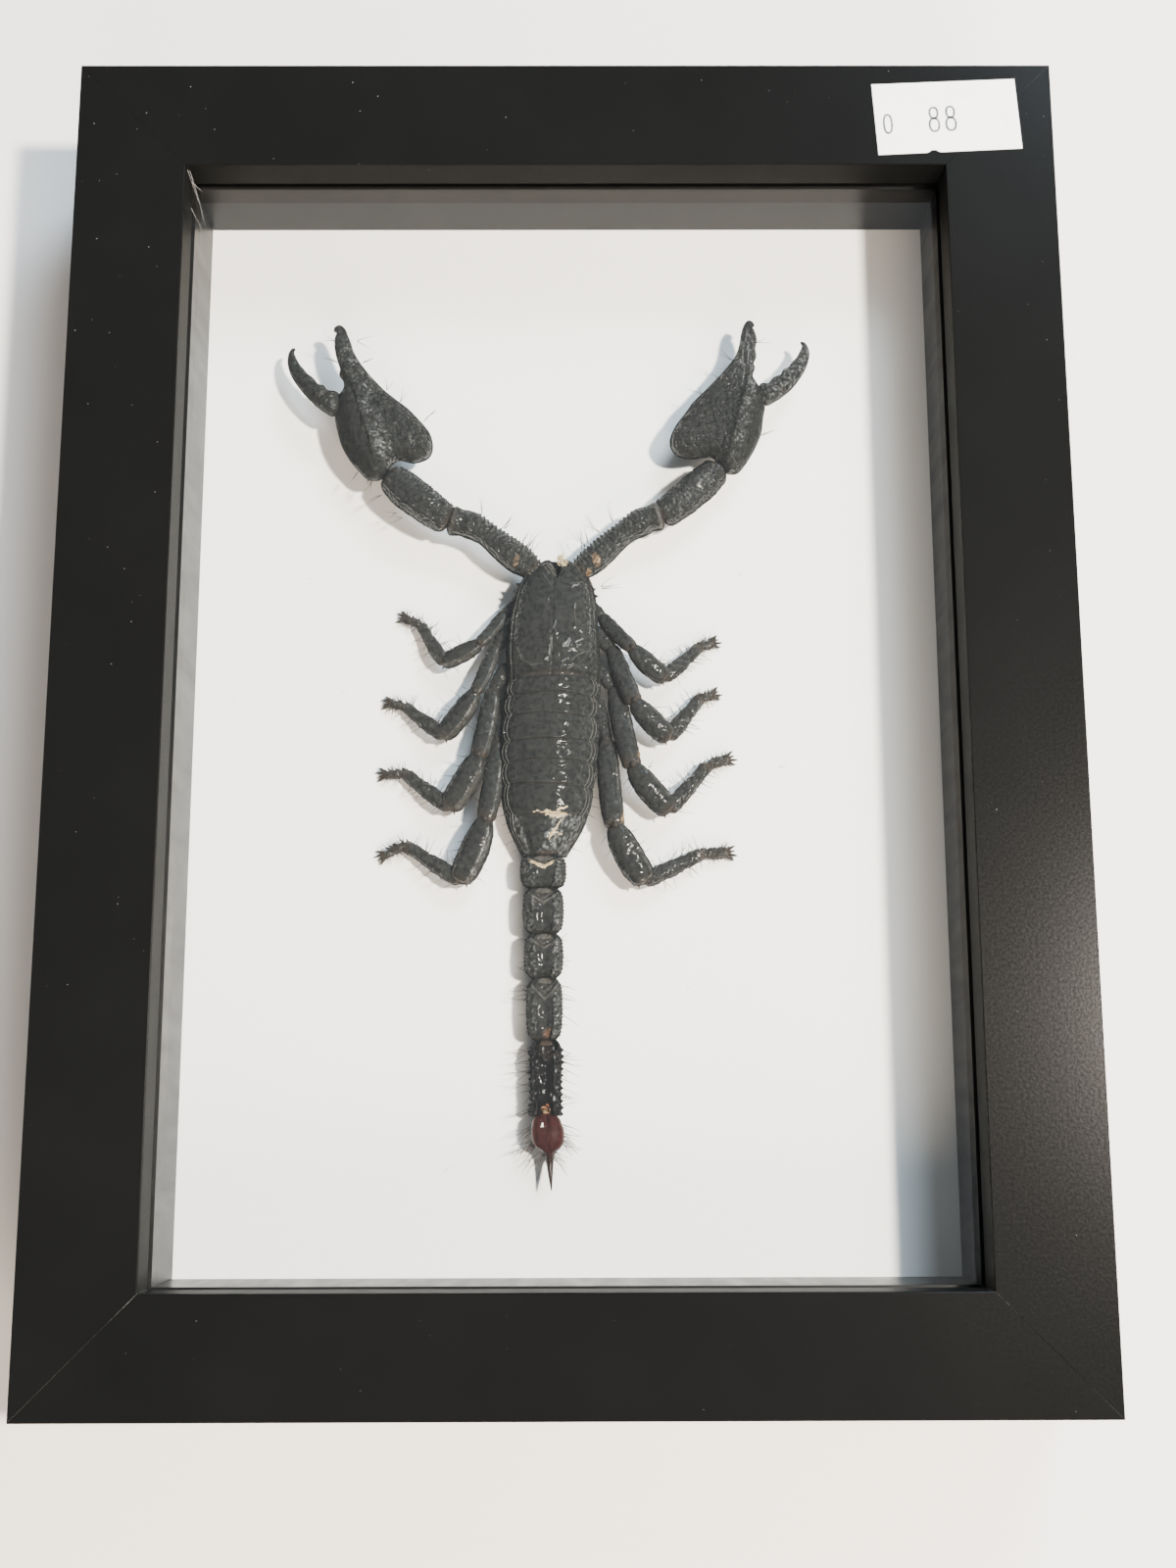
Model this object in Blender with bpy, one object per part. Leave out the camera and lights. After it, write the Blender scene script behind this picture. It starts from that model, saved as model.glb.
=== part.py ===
"""Framed scorpion specimen: a deep mitred box frame with a whole dried scorpion on a card.

The frame lies on its back. X runs across it, Y from its bottom rail to its top rail and
Z out through the glass. The origin is under the middle of the frame, on its back face.
Sizes in the tables are millimetres; new_mesh turns them into metres.
"""

import math

import bmesh
import bpy
from mathutils import Vector

MM = 0.001

# Box frame, outside sizes and moulding section
FRAME_WIDTH = 152.0
FRAME_HEIGHT = 203.0
FRAME_DEPTH = 30.0
RAIL_WIDTH = 17.0
LIP_OVERLAP = 4.5
LIP_DEPTH = 5.8
EDGE_ROUNDING = 0.35
MITRE_GAP = 0.06

# What lies in the rebate, from the glass to the back
FIT_CLEARANCE = 0.4
CONTACT_GAP = 0.1
GLASS_THICKNESS = 2.0
CARD_THICKNESS = 1.0
BOARD_THICKNESS = 2.6
CARD_BELOW_FRONT = 21.1
SPACER_INSET = 0.2

# Retaining tabs, hanger and its nails on the back
TAB_LENGTH = 13.0
TAB_WIDTH = 7.0
TAB_THICKNESS = 0.5
TAB_TAIL = 4.0
SLOT_CLEARANCE = 0.3
LONG_RAIL_TAB_SPACING = 104.0
HANGER_LENGTH = 42.0
HANGER_WIDTH = 8.0
HANGER_THICKNESS = 0.9
HANGER_BELOW_TOP = 24.0
HANGER_TEETH = 9
TOOTH_DEPTH = 1.4
NAIL_SPACING = 34.0
NAIL_HEAD_RADIUS = 1.7
NAIL_HEAD_HEIGHT = 0.7

# Price label stuck on the top right corner
LABEL_WIDTH = 22.5
LABEL_HEIGHT = 12.0
LABEL_THICKNESS = 0.2
LABEL_CENTRE = (59.5, 92.7)
LABEL_TURN = 2.4

# Distance kept between the parts of the specimen, and above the card
LIMB_GAP = 0.3
CARD_GAP = 0.1
WIDEST_LEVEL = 0.42
SECTION_POWER = 0.86

# Derived levels above the back face
GLASS_TOP = FRAME_DEPTH - LIP_DEPTH - CONTACT_GAP
GLASS_BOTTOM = GLASS_TOP - GLASS_THICKNESS
CARD_TOP = FRAME_DEPTH - CARD_BELOW_FRONT
CARD_BOTTOM = CARD_TOP - CARD_THICKNESS
BOARD_TOP = CARD_BOTTOM - CONTACT_GAP
BOARD_BOTTOM = BOARD_TOP - BOARD_THICKNESS
REBATE_WIDTH = FRAME_WIDTH - 2 * (RAIL_WIDTH - LIP_OVERLAP)
REBATE_HEIGHT = FRAME_HEIGHT - 2 * (RAIL_WIDTH - LIP_OVERLAP)
SHEET_WIDTH = REBATE_WIDTH - 2 * FIT_CLEARANCE
SHEET_HEIGHT = REBATE_HEIGHT - 2 * FIT_CLEARANCE
WINDOW_WIDTH = FRAME_WIDTH - 2 * RAIL_WIDTH
WINDOW_HEIGHT = FRAME_HEIGHT - 2 * RAIL_WIDTH

# Carapace rows: y, middle x, half width, top above the card
CARAPACE = [
    (25.7, -1.6, 1.6, 4.2),
    (25.4, -1.6, 2.6, 5.0),
    (24.9, -1.6, 3.6, 5.8),
    (24.1, -1.7, 4.5, 6.3),
    (22.9, -1.7, 5.3, 6.7),
    (21.0, -1.8, 6.1, 7.2),
    (17.7, -2.0, 6.8, 7.6),
    (14.0, -2.2, 7.2, 7.8),
    (10.5, -2.2, 7.4, 7.8),
    (7.6, -2.1, 7.3, 7.5),
]
# Rear edge of each back plate, with the middle x, half width and top there
BACK_PLATES = [
    (3.7, -2.4, 7.45, 7.3),
    (0.5, -2.6, 7.55, 7.3),
    (-3.5, -2.75, 7.6, 7.3),
    (-6.8, -2.95, 7.5, 7.2),
    (-10.5, -3.1, 7.2, 7.0),
    (-15.1, -3.2, 6.4, 6.6),
    (-21.2, -3.5, 3.5, 5.4),
]
FIRST_PLATE_START = (6.3, -2.1, 7.2, 7.0)
PLATE_STEP = 0.45
BODY_SIDES = 22

# Tail rings: y where each ends, middle x, half width, height, and where its waist ends
TAIL_START = -21.5
TAIL_RINGS = [
    (-26.3, -3.65, 3.35, 5.6),
    (-33.3, -3.65, 2.95, 5.6),
    (-40.0, -3.55, 2.8, 5.5),
    (-49.3, -3.45, 2.6, 5.4),
    (-60.6, -3.2, 2.3, 5.0),
]
WAIST_RATIO = 0.78
TAIL_SIDES = 14
# Sting rows: y, middle x, half width, bottom, top
STING = [
    (-60.9, -3.15, 1.1, 1.3, 3.9),
    (-61.7, -3.1, 1.75, 0.8, 4.6),
    (-62.8, -3.0, 2.2, 0.4, 5.0),
    (-64.2, -2.9, 2.1, 0.4, 5.0),
    (-65.4, -2.8, 1.55, 0.7, 4.6),
    (-66.3, -2.7, 0.8, 1.5, 4.1),
    (-67.6, -2.6, 0.55, 2.4, 3.9),
    (-69.4, -2.5, 0.34, 3.1, 4.0),
    (-71.6, -2.35, 0.08, 4.1, 4.3),
]
STING_SIDES = 12

# Pincer arms from the wrist to the shoulder: x, y, level, half width
LEFT_ARM = [
    (-28.9, 39.6, 5.9, 1.6),
    (-27.6, 38.5, 5.8, 2.4),
    (-24.9, 36.2, 5.7, 2.8),
    (-22.6, 34.5, 5.6, 2.75),
    (-20.5, 33.0, 5.4, 2.35),
    (-18.9, 31.9, 5.3, 1.7),
    (-17.3, 31.7, 5.2, 1.95),
    (-15.4, 31.4, 5.1, 2.1),
    (-13.0, 29.8, 5.0, 1.8),
    (-10.7, 28.0, 4.9, 2.05),
    (-8.8, 26.5, 4.7, 2.25),
    (-7.4, 25.5, 4.5, 2.2),
    (-5.8, 24.3, 4.2, 1.8),
    (-4.0, 22.8, 4.0, 1.4),
]
RIGHT_ARM = [
    (24.9, 41.0, 5.3, 1.5),
    (23.3, 39.6, 5.2, 2.3),
    (21.1, 37.6, 5.2, 2.5),
    (18.9, 35.7, 5.1, 2.45),
    (16.8, 34.0, 5.0, 2.1),
    (15.3, 32.9, 4.9, 1.7),
    (13.7, 32.6, 4.9, 1.9),
    (11.9, 31.9, 4.9, 2.1),
    (9.4, 30.2, 4.8, 1.75),
    (7.1, 28.1, 4.7, 1.95),
    (5.0, 26.2, 4.6, 2.1),
    (3.7, 25.2, 4.4, 2.05),
    (2.3, 24.1, 4.2, 1.7),
    (0.7, 22.8, 4.0, 1.4),
]
# Pincer hands with the fixed finger, from its tip: y, left x, right x, half thickness
LEFT_HAND = [
    (63.5, -37.3, -36.5, 0.3),
    (62.9, -37.2, -35.6, 0.8),
    (60.0, -36.9, -34.5, 1.3),
    (57.2, -36.1, -32.9, 1.7),
    (54.6, -35.7, -30.5, 2.2),
    (52.1, -36.2, -28.1, 2.6),
    (49.9, -36.8, -25.3, 2.9),
    (47.0, -36.5, -22.3, 3.1),
    (44.8, -35.8, -21.2, 3.0),
    (43.1, -35.0, -21.4, 2.6),
    (42.2, -34.5, -22.8, 2.3),
    (41.8, -34.2, -25.8, 2.2),
    (40.6, -33.3, -28.2, 1.8),
    (39.2, -31.6, -29.6, 1.1),
]
RIGHT_HAND = [
    (64.8, 29.1, 29.9, 0.3),
    (64.1, 28.4, 30.2, 0.8),
    (60.7, 27.5, 30.4, 1.3),
    (57.8, 26.4, 30.1, 1.7),
    (55.2, 24.3, 30.1, 2.2),
    (52.7, 21.7, 31.0, 2.6),
    (49.7, 19.0, 31.3, 2.9),
    (46.9, 17.1, 31.0, 3.1),
    (44.9, 16.4, 30.2, 3.0),
    (43.6, 17.0, 29.5, 2.6),
    (42.8, 18.6, 29.0, 2.3),
    (42.4, 22.4, 28.7, 2.2),
    (41.3, 24.2, 28.0, 1.8),
    (40.1, 25.2, 27.1, 1.1),
]
# Level of each hand at its fingertip and at its wrist
LEFT_HAND_LEVELS = (7.2, 5.9)
RIGHT_HAND_LEVELS = (5.9, 5.3)
# Moving fingers from tip to knuckle: x, y, level, half width
LEFT_FINGER = [
    (-43.7, 61.2, 4.6, 0.12),
    (-44.3, 60.4, 4.7, 0.35),
    (-44.4, 59.2, 4.9, 0.6),
    (-43.6, 57.2, 5.3, 0.85),
    (-42.1, 54.9, 5.7, 1.2),
    (-40.4, 53.1, 6.0, 1.6),
    (-38.8, 51.9, 6.2, 1.75),
    (-37.0, 50.9, 6.3, 1.75),
]
RIGHT_FINGER = [
    (37.9, 62.4, 4.2, 0.12),
    (38.4, 61.6, 4.3, 0.3),
    (38.6, 60.4, 4.5, 0.5),
    (38.1, 58.6, 4.8, 0.85),
    (36.7, 56.7, 5.1, 1.3),
    (35.1, 55.0, 5.3, 1.6),
    (33.6, 54.0, 5.4, 1.75),
    (32.0, 53.1, 5.5, 1.7),
]
HAND_SIDES = 16
ARM_SIDES = 12
FINGER_SIDES = 10

# Legs from front to back: x, y of the hip, hip end, knee, ankle, foot joint and toe
LEFT_LEGS = [
    [(-7.6, 19.4), (-9.9, 17.6), (-13.6, 12.1), (-19.4, 9.5), (-23.2, 16.0), (-26.8, 17.6)],
    [(-8.6, 14.9), (-11.4, 12.1), (-14.2, 4.3), (-19.3, -2.4), (-25.6, 2.8), (-29.0, 3.5)],
    [(-9.4, 8.8), (-11.7, 5.0), (-13.6, -5.8), (-18.2, -13.6), (-25.4, -8.0), (-29.6, -8.1)],
    [(-9.6, 3.2), (-10.9, -3.5), (-12.5, -15.9), (-16.4, -25.1), (-25.2, -19.2), (-29.4, -21.3)],
]
RIGHT_LEGS = [
    [(3.3, 19.4), (5.5, 17.1), (10.2, 11.3), (15.3, 6.8), (21.0, 12.3), (24.1, 13.4)],
    [(4.3, 14.6), (7.2, 11.8), (10.5, 2.7), (15.8, -2.7), (20.9, 4.0), (24.0, 4.9)],
    [(4.8, 8.6), (7.6, 5.3), (10.1, -7.5), (15.7, -14.1), (22.0, -6.7), (26.2, -5.5)],
    [(4.9, 3.0), (6.3, -3.3), (7.3, -16.9), (11.9, -25.1), (21.0, -20.7), (26.0, -20.6)],
]
# Half width of each leg segment, from the hip to the foot
LEFT_LEG_WIDTHS = [
    (0.8, 0.95, 1.35, 0.95, 0.55),
    (0.8, 1.1, 1.7, 1.0, 0.55),
    (0.8, 1.3, 1.95, 1.05, 0.6),
    (0.8, 1.4, 2.15, 1.05, 0.6),
]
RIGHT_LEG_WIDTHS = [
    (0.8, 1.15, 1.5, 0.95, 0.55),
    (0.8, 1.35, 1.65, 1.0, 0.55),
    (0.8, 1.4, 1.8, 1.0, 0.6),
    (0.8, 1.65, 2.2, 1.1, 0.7),
]
# Level of each leg joint above the card
LEG_LEVELS = (2.4, 2.3, 4.6, 3.3, 1.3, 0.75)
# Width of a joint against the narrower segment that meets there, and of the toe
JOINT_RATIO = 0.82
TOE_RATIO = 0.5
BELLY_PLACES = (0.3, 0.7)
LEG_FLATNESS = 0.85
LEG_SIDES = 8


def new_material(name, color, roughness, metallic=0.0, transmission=0.0):
    material = bpy.data.materials.new(name)
    material.use_nodes = True
    shader = material.node_tree.nodes["Principled BSDF"]
    shader.inputs["Base Color"].default_value = (*color, 1.0)
    shader.inputs["Roughness"].default_value = roughness
    shader.inputs["Metallic"].default_value = metallic
    shader.inputs["Transmission Weight"].default_value = transmission
    material.diffuse_color = (*color, 1.0)
    return material


def new_mesh(name, points, faces, material):
    """Make an object from points in millimetres, with its faces pointing out."""
    shell = bmesh.new()
    corners = [shell.verts.new(Vector(point) * MM) for point in points]
    for face in faces:
        shell.faces.new([corners[i] for i in face])
    bmesh.ops.recalc_face_normals(shell, faces=shell.faces)
    mesh = bpy.data.meshes.new(name)
    shell.to_mesh(mesh)
    shell.free()
    mesh.materials.append(material)
    thing = bpy.data.objects.new(name, mesh)
    bpy.context.scene.collection.objects.link(thing)
    return thing


def shade(thing, degrees=40.0):
    thing.data.shade_smooth()
    thing.data.set_sharp_from_angle(angle=math.radians(degrees))


def add_block(name, low, high, material):
    xs, ys, zs = zip(low, high)
    points = [(x, y, z) for z in zs for y in ys for x in xs]
    faces = [(0, 2, 3, 1), (4, 5, 7, 6), (0, 1, 5, 4), (2, 6, 7, 3), (0, 4, 6, 2), (1, 3, 7, 5)]
    return new_mesh(name, points, faces, material)


def add_sheet(name, bottom, top, material):
    """Make a flat piece that fills the rebate."""
    half = (SHEET_WIDTH / 2, SHEET_HEIGHT / 2)
    return add_block(name, (-half[0], -half[1], bottom), (half[0], half[1], top), material)


def skin(rings):
    """Return the faces that join closed rings of points and cap both ends."""
    count = len(rings[0])
    faces = [tuple(reversed(range(count)))]
    for row in range(len(rings) - 1):
        for i in range(count):
            j = (i + 1) % count
            a, b = row * count, (row + 1) * count
            faces.append((a + i, a + j, b + j, b + i))
    last = (len(rings) - 1) * count
    faces.append(tuple(range(last, last + count)))
    return faces


def add_loft(name, rings, material):
    points = [point for ring in rings for point in ring]
    thing = new_mesh(name, points, skin(rings), material)
    shade(thing)
    return thing


def oval(angle):
    """Return across and up of a slightly squared circle."""
    across, up = math.cos(angle), math.sin(angle)
    return (math.copysign(abs(across) ** SECTION_POWER, across),
            math.copysign(abs(up) ** SECTION_POWER, up))


def level_ring(y, left, right, bottom, top, sides):
    """Return an upright section across X, widest below its middle, as points above the card."""
    widest = bottom + WIDEST_LEVEL * (top - bottom)
    ring = []
    for i in range(sides):
        across, up = oval(-2 * math.pi * i / sides)
        reach = top - widest if up > 0 else widest - bottom
        x = (left + right) / 2 + across * (right - left) / 2
        ring.append((x, y, CARD_TOP + widest + up * reach))
    return ring


def limb_rings(stations, sides, flatness=1.0):
    """Return rings square to a path of (x, y, level, half width) stations."""
    centres = [Vector((x, y, CARD_TOP + level)) for x, y, level, _ in stations]
    rings = []
    for k, centre in enumerate(centres):
        before = centres[max(k - 1, 0)]
        after = centres[min(k + 1, len(centres) - 1)]
        arriving = (centre - before).normalized() if k else (after - centre).normalized()
        leaving = (after - centre).normalized() if after != centre else arriving
        along = (arriving + leaving).normalized()
        across = along.cross(Vector((0, 0, 1))).normalized()
        up = across.cross(along)
        half = stations[k][3]
        ring = []
        for i in range(sides):
            c, s = oval(2 * math.pi * i / sides)
            ring.append(centre + across * (c * half) + up * (s * half * flatness))
        rings.append(ring)
    return rings


def rail_section(overlap, width, depth, lip):
    """Return the L section of a moulding as (distance inwards from its outer side, level)."""
    return [
        (0.0, 0.0),
        (width - overlap, 0.0),
        (width - overlap, depth - lip),
        (width, depth - lip),
        (width, depth),
        (0.0, depth),
    ]


def add_mitred_sides(names, half_width, half_height, section, bottom, material):
    """Make four rails with 45 degree ends around a rectangle."""
    turns = {"bottom": 0, "right": 1, "top": 2, "left": 3}
    rails = {}
    for side, turn in turns.items():
        half_length, reach = (half_width, half_height) if turn % 2 == 0 else (half_height, half_width)
        points = []
        for end in (-1, 1):
            for inwards, level in section:
                x = end * (half_length - inwards - MITRE_GAP)
                y = -reach + inwards
                for _ in range(turn):
                    x, y = -y, x
                points.append((x, y, bottom + level))
        count = len(section)
        faces = [tuple(range(count)), tuple(reversed(range(count, 2 * count)))]
        for i in range(count):
            j = (i + 1) % count
            faces.append((j, i, count + i, count + j))
        rails[side] = new_mesh(names[side], points, faces, material)
    return rails


def round_edges(thing, width):
    bevel = thing.modifiers.new("rounded edges", "BEVEL")
    bevel.width = width * MM
    bevel.segments = 2
    bevel.limit_method = "ANGLE"
    bevel.angle_limit = math.radians(30)


def cut_with(thing, cutter):
    cutter.hide_render = True
    cutter.display_type = "WIRE"
    boolean = thing.modifiers.new("cut", "BOOLEAN")
    boolean.operation = "DIFFERENCE"
    boolean.object = cutter


def build_frame(materials):
    names = {side: "frame_rail_" + side for side in ("bottom", "right", "top", "left")}
    section = rail_section(LIP_OVERLAP, RAIL_WIDTH, FRAME_DEPTH, LIP_DEPTH)
    rails = add_mitred_sides(names, FRAME_WIDTH / 2, FRAME_HEIGHT / 2, section, 0.0,
                             materials["frame"])
    for rail in rails.values():
        round_edges(rail, EDGE_ROUNDING)
    return rails


def build_spacer(materials):
    """The inner box that holds the glass off the card."""
    names = {side: "spacer_" + side for side in ("bottom", "right", "top", "left")}
    bottom = CARD_TOP + CONTACT_GAP
    depth = GLASS_BOTTOM - CONTACT_GAP - bottom
    thickness = (SHEET_WIDTH - WINDOW_WIDTH) / 2 + SPACER_INSET
    section = [(0.0, 0.0), (thickness, 0.0), (thickness, depth), (0.0, depth)]
    add_mitred_sides(names, SHEET_WIDTH / 2, SHEET_HEIGHT / 2, section, bottom,
                     materials["spacer"])


def build_sheets(materials):
    add_sheet("glass_pane", GLASS_BOTTOM, GLASS_TOP, materials["glass"])
    add_sheet("mount_card", CARD_BOTTOM, CARD_TOP, materials["card"])
    add_sheet("back_board", BOARD_BOTTOM, BOARD_TOP, materials["board"])


def build_tabs(rails, materials):
    """Flat steel tabs pushed into slots in the rails, over the edge of the back board."""
    top = BOARD_BOTTOM - CONTACT_GAP
    bottom = top - TAB_THICKNESS
    wall_x, wall_y = REBATE_WIDTH / 2, REBATE_HEIGHT / 2
    half_spacing = LONG_RAIL_TAB_SPACING / 2
    places = [
        ("tab_top", "top", (0.0, wall_y), (0, 1)),
        ("tab_bottom", "bottom", (0.0, -wall_y), (0, -1)),
        ("tab_left_upper", "left", (-wall_x, half_spacing), (-1, 0)),
        ("tab_left_lower", "left", (-wall_x, -half_spacing), (-1, 0)),
        ("tab_right_upper", "right", (wall_x, half_spacing), (1, 0)),
        ("tab_right_lower", "right", (wall_x, -half_spacing), (1, 0)),
    ]
    for name, side, (x, y), (dx, dy) in places:
        near = (x - dx * (TAB_LENGTH - TAB_TAIL), y - dy * (TAB_LENGTH - TAB_TAIL))
        far = (x + dx * TAB_TAIL, y + dy * TAB_TAIL)
        half = TAB_WIDTH / 2
        low = (min(near[0], far[0]) - half * abs(dy), min(near[1], far[1]) - half * abs(dx), bottom)
        high = (max(near[0], far[0]) + half * abs(dy), max(near[1], far[1]) + half * abs(dx), top)
        add_block(name, low, high, materials["steel"])
        slot_low = tuple(value - SLOT_CLEARANCE for value in low)
        slot_high = tuple(value + SLOT_CLEARANCE for value in high)
        slot = add_block(name + "_slot", slot_low, slot_high, materials["steel"])
        cut_with(rails[side], slot)


def build_hanger(materials):
    """A saw-tooth strip on the back board, held by two round-headed nails."""
    top = BOARD_BOTTOM - CONTACT_GAP
    bottom = top - HANGER_THICKNESS
    upper = REBATE_HEIGHT / 2 - HANGER_BELOW_TOP
    lower = upper - HANGER_WIDTH
    half = HANGER_LENGTH / 2
    outline = [(-half, lower), (-half, upper), (half, upper), (half, lower)]
    toothed = HANGER_LENGTH * 0.6
    step = toothed / (2 * HANGER_TEETH)
    for i in range(2 * HANGER_TEETH + 1):
        outline.append((toothed / 2 - i * step, lower + (TOOTH_DEPTH if i % 2 else 0.0)))
    count = len(outline)
    points = [(x, y, z) for z in (bottom, top) for x, y in outline]
    faces = [tuple(range(count)), tuple(reversed(range(count, 2 * count)))]
    for i in range(count):
        j = (i + 1) % count
        faces.append((j, i, count + i, count + j))
    new_mesh("hanger_strip", points, faces, materials["steel"])
    for side, name in ((-1, "hanger_nail_left"), (1, "hanger_nail_right")):
        rings = []
        for drop, radius in ((0.0, 1.0), (0.3, 0.95), (0.8, 0.7), (1.0, 0.3)):
            z = bottom - CONTACT_GAP - drop * NAIL_HEAD_HEIGHT
            rings.append([(side * NAIL_SPACING / 2 + math.cos(a) * radius * NAIL_HEAD_RADIUS,
                           upper - 2.2 + math.sin(a) * radius * NAIL_HEAD_RADIUS, z)
                          for a in (-2 * math.pi * i / 12 for i in range(12))])
        add_loft(name, rings, materials["steel"])


def build_label(materials):
    half_w, half_h = LABEL_WIDTH / 2, LABEL_HEIGHT / 2
    low = (-half_w, -half_h, 0.0)
    high = (half_w, half_h, LABEL_THICKNESS)
    label = add_block("price_label", low, high, materials["label"])
    label.location = Vector((*LABEL_CENTRE, FRAME_DEPTH + CONTACT_GAP)) * MM
    label.rotation_euler = (0.0, 0.0, math.radians(LABEL_TURN))


def body_rows(growth=0.0):
    """Return the rings of the carapace and the back plates, grown on every side."""
    rows = [(y, x, half, top) for y, x, half, top in CARAPACE]
    before = FIRST_PLATE_START
    rows.append((before[0], before[1], before[2], before[3] - PLATE_STEP / 2))
    for plate in BACK_PLATES:
        front = [before[i] + 0.15 * (plate[i] - before[i]) for i in range(4)]
        rear = [before[i] + 0.9 * (plate[i] - before[i]) for i in range(4)]
        middle = [(front[i] + rear[i]) / 2 for i in range(4)]
        rows.append((front[0], front[1], front[2], front[3] - 0.1))
        rows.append((middle[0], middle[1], middle[2] + 0.15, middle[3] + 0.1))
        rows.append((rear[0], rear[1], rear[2] + 0.1, rear[3] + 0.05))
        rows.append((plate[0], plate[1], plate[2] - 0.1, plate[3] - PLATE_STEP))
        before = plate
    rings = []
    for k, (y, x, half, top) in enumerate(rows):
        lift = 1.6 if k < 2 else 0.9 if k < 4 else 0.0
        bottom = CARD_GAP + lift
        if k == 0:
            y += growth
        if k == len(rows) - 1:
            y -= growth
        rings.append(level_ring(y, x - half - growth, x + half + growth,
                                bottom - growth, top + growth, BODY_SIDES))
    return rings


def build_body(materials):
    add_loft("scorpion_body", body_rows(), materials["shell"])
    cutter = add_loft("body_clearance", body_rows(LIMB_GAP), materials["shell"])
    return cutter


def build_tail(materials):
    rings = []
    start = TAIL_START
    for number, (end, x, half, height) in enumerate(TAIL_RINGS):
        length = start - end
        waist = half * WAIST_RATIO
        last = number == len(TAIL_RINGS) - 1
        rows = [(0.06, waist, 0.86), (0.16, half * 0.96, 0.98), (0.5, half, 1.0),
                (0.82, half * 0.95, 1.0), (1.0, half * (1.02 if last else 0.82), 0.9)]
        for ratio, half_here, rise in rows:
            y = start - ratio * length
            drop = CARD_GAP + (1.0 - rise) * height
            rings.append(level_ring(y, x - half_here, x + half_here, drop, height * rise, TAIL_SIDES))
        start = end
    add_loft("scorpion_tail", rings, materials["shell"])


def build_sting(materials):
    rings = [level_ring(y, x - half, x + half, bottom, top, STING_SIDES)
             for y, x, half, bottom, top in STING]
    add_loft("scorpion_sting", rings, materials["sting"])


def build_hand(name, rows, levels, material, growth=0.0):
    tip, wrist = rows[0][0], rows[-1][0]
    rings = []
    for y, left, right, half in rows:
        share = (tip - y) / (tip - wrist)
        level = levels[0] + share * (levels[1] - levels[0])
        if y in (tip, wrist):
            y += growth if y == tip else -growth
        half += growth
        rings.append(level_ring(y, left - growth, right + growth, level - half, level + half,
                                HAND_SIDES))
    return add_loft(name, rings, material)


def build_pincers(body_clearance, materials):
    sides = (
        ("left", LEFT_ARM, LEFT_HAND, LEFT_HAND_LEVELS, LEFT_FINGER),
        ("right", RIGHT_ARM, RIGHT_HAND, RIGHT_HAND_LEVELS, RIGHT_FINGER),
    )
    for side, arm_path, hand_rows, levels, finger_path in sides:
        arm = add_loft("pincer_arm_" + side, limb_rings(arm_path, ARM_SIDES, 0.9), materials["shell"])
        build_hand("pincer_hand_" + side, hand_rows, levels, materials["shell"])
        hand_clearance = build_hand("hand_clearance_" + side, hand_rows, levels,
                                    materials["shell"], LIMB_GAP)
        finger = add_loft("pincer_finger_" + side, limb_rings(finger_path, FINGER_SIDES),
                          materials["shell"])
        cut_with(arm, body_clearance)
        cut_with(arm, hand_clearance)
        cut_with(finger, hand_clearance)


def leg_stations(joints, widths):
    """Fill in the swelling of each leg segment and the turn at each joint."""
    places = [Vector((x, y, level)) for (x, y), level in zip(joints, LEG_LEVELS)]
    stations = []
    last = len(places) - 1
    for k, place in enumerate(places):
        narrower = min(widths[max(k - 1, 0)], widths[min(k, last - 1)])
        half = narrower * (TOE_RATIO if k == last else JOINT_RATIO)
        if 0 < k < last:
            back = (places[k - 1] - place).normalized()
            ahead = (places[k + 1] - place).normalized()
            turn = back.angle(-ahead)
            reach = max(0.35, 1.3 * half * math.tan(turn / 2))
            stations.append((*(place + back * reach), half))
            stations.append((*place, half))
            stations.append((*(place + ahead * reach), half))
        else:
            stations.append((*place, half))
        if k < last:
            for share in BELLY_PLACES:
                stations.append((*place.lerp(places[k + 1], share), widths[k]))
    return stations


def build_legs(body_clearance, materials):
    sides = (("left", LEFT_LEGS, LEFT_LEG_WIDTHS), ("right", RIGHT_LEGS, RIGHT_LEG_WIDTHS))
    for side, legs, leg_widths in sides:
        for number, (joints, widths) in enumerate(zip(legs, leg_widths), start=1):
            rings = limb_rings(leg_stations(joints, widths), LEG_SIDES, LEG_FLATNESS)
            leg = add_loft(f"leg_{side}_{number}", rings, materials["shell"])
            cut_with(leg, body_clearance)


def main():
    for thing in list(bpy.data.objects):
        bpy.data.objects.remove(thing, do_unlink=True)
    materials = {
        "frame": new_material("black satin frame", (0.022, 0.023, 0.023), 0.42),
        "spacer": new_material("black spacer", (0.035, 0.036, 0.037), 0.35),
        "glass": new_material("clear glass", (0.95, 0.97, 0.96), 0.02, transmission=1.0),
        "card": new_material("off-white card", (0.86, 0.84, 0.81), 0.9),
        "board": new_material("hardboard", (0.20, 0.13, 0.08), 0.75),
        "steel": new_material("zinc-plated steel", (0.55, 0.56, 0.57), 0.35, metallic=1.0),
        "label": new_material("white label paper", (0.82, 0.83, 0.82), 0.7),
        "shell": new_material("black scorpion shell", (0.018, 0.018, 0.017), 0.25),
        "sting": new_material("dark red sting", (0.07, 0.012, 0.012), 0.2),
    }
    rails = build_frame(materials)
    build_sheets(materials)
    build_spacer(materials)
    build_tabs(rails, materials)
    build_hanger(materials)
    build_label(materials)
    body_clearance = build_body(materials)
    build_tail(materials)
    build_sting(materials)
    build_pincers(body_clearance, materials)
    build_legs(body_clearance, materials)


main()
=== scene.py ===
import math

import bmesh
import bpy
import numpy as np
from mathutils import Euler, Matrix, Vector
from mathutils.geometry import delaunay_2d_cdt


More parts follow.
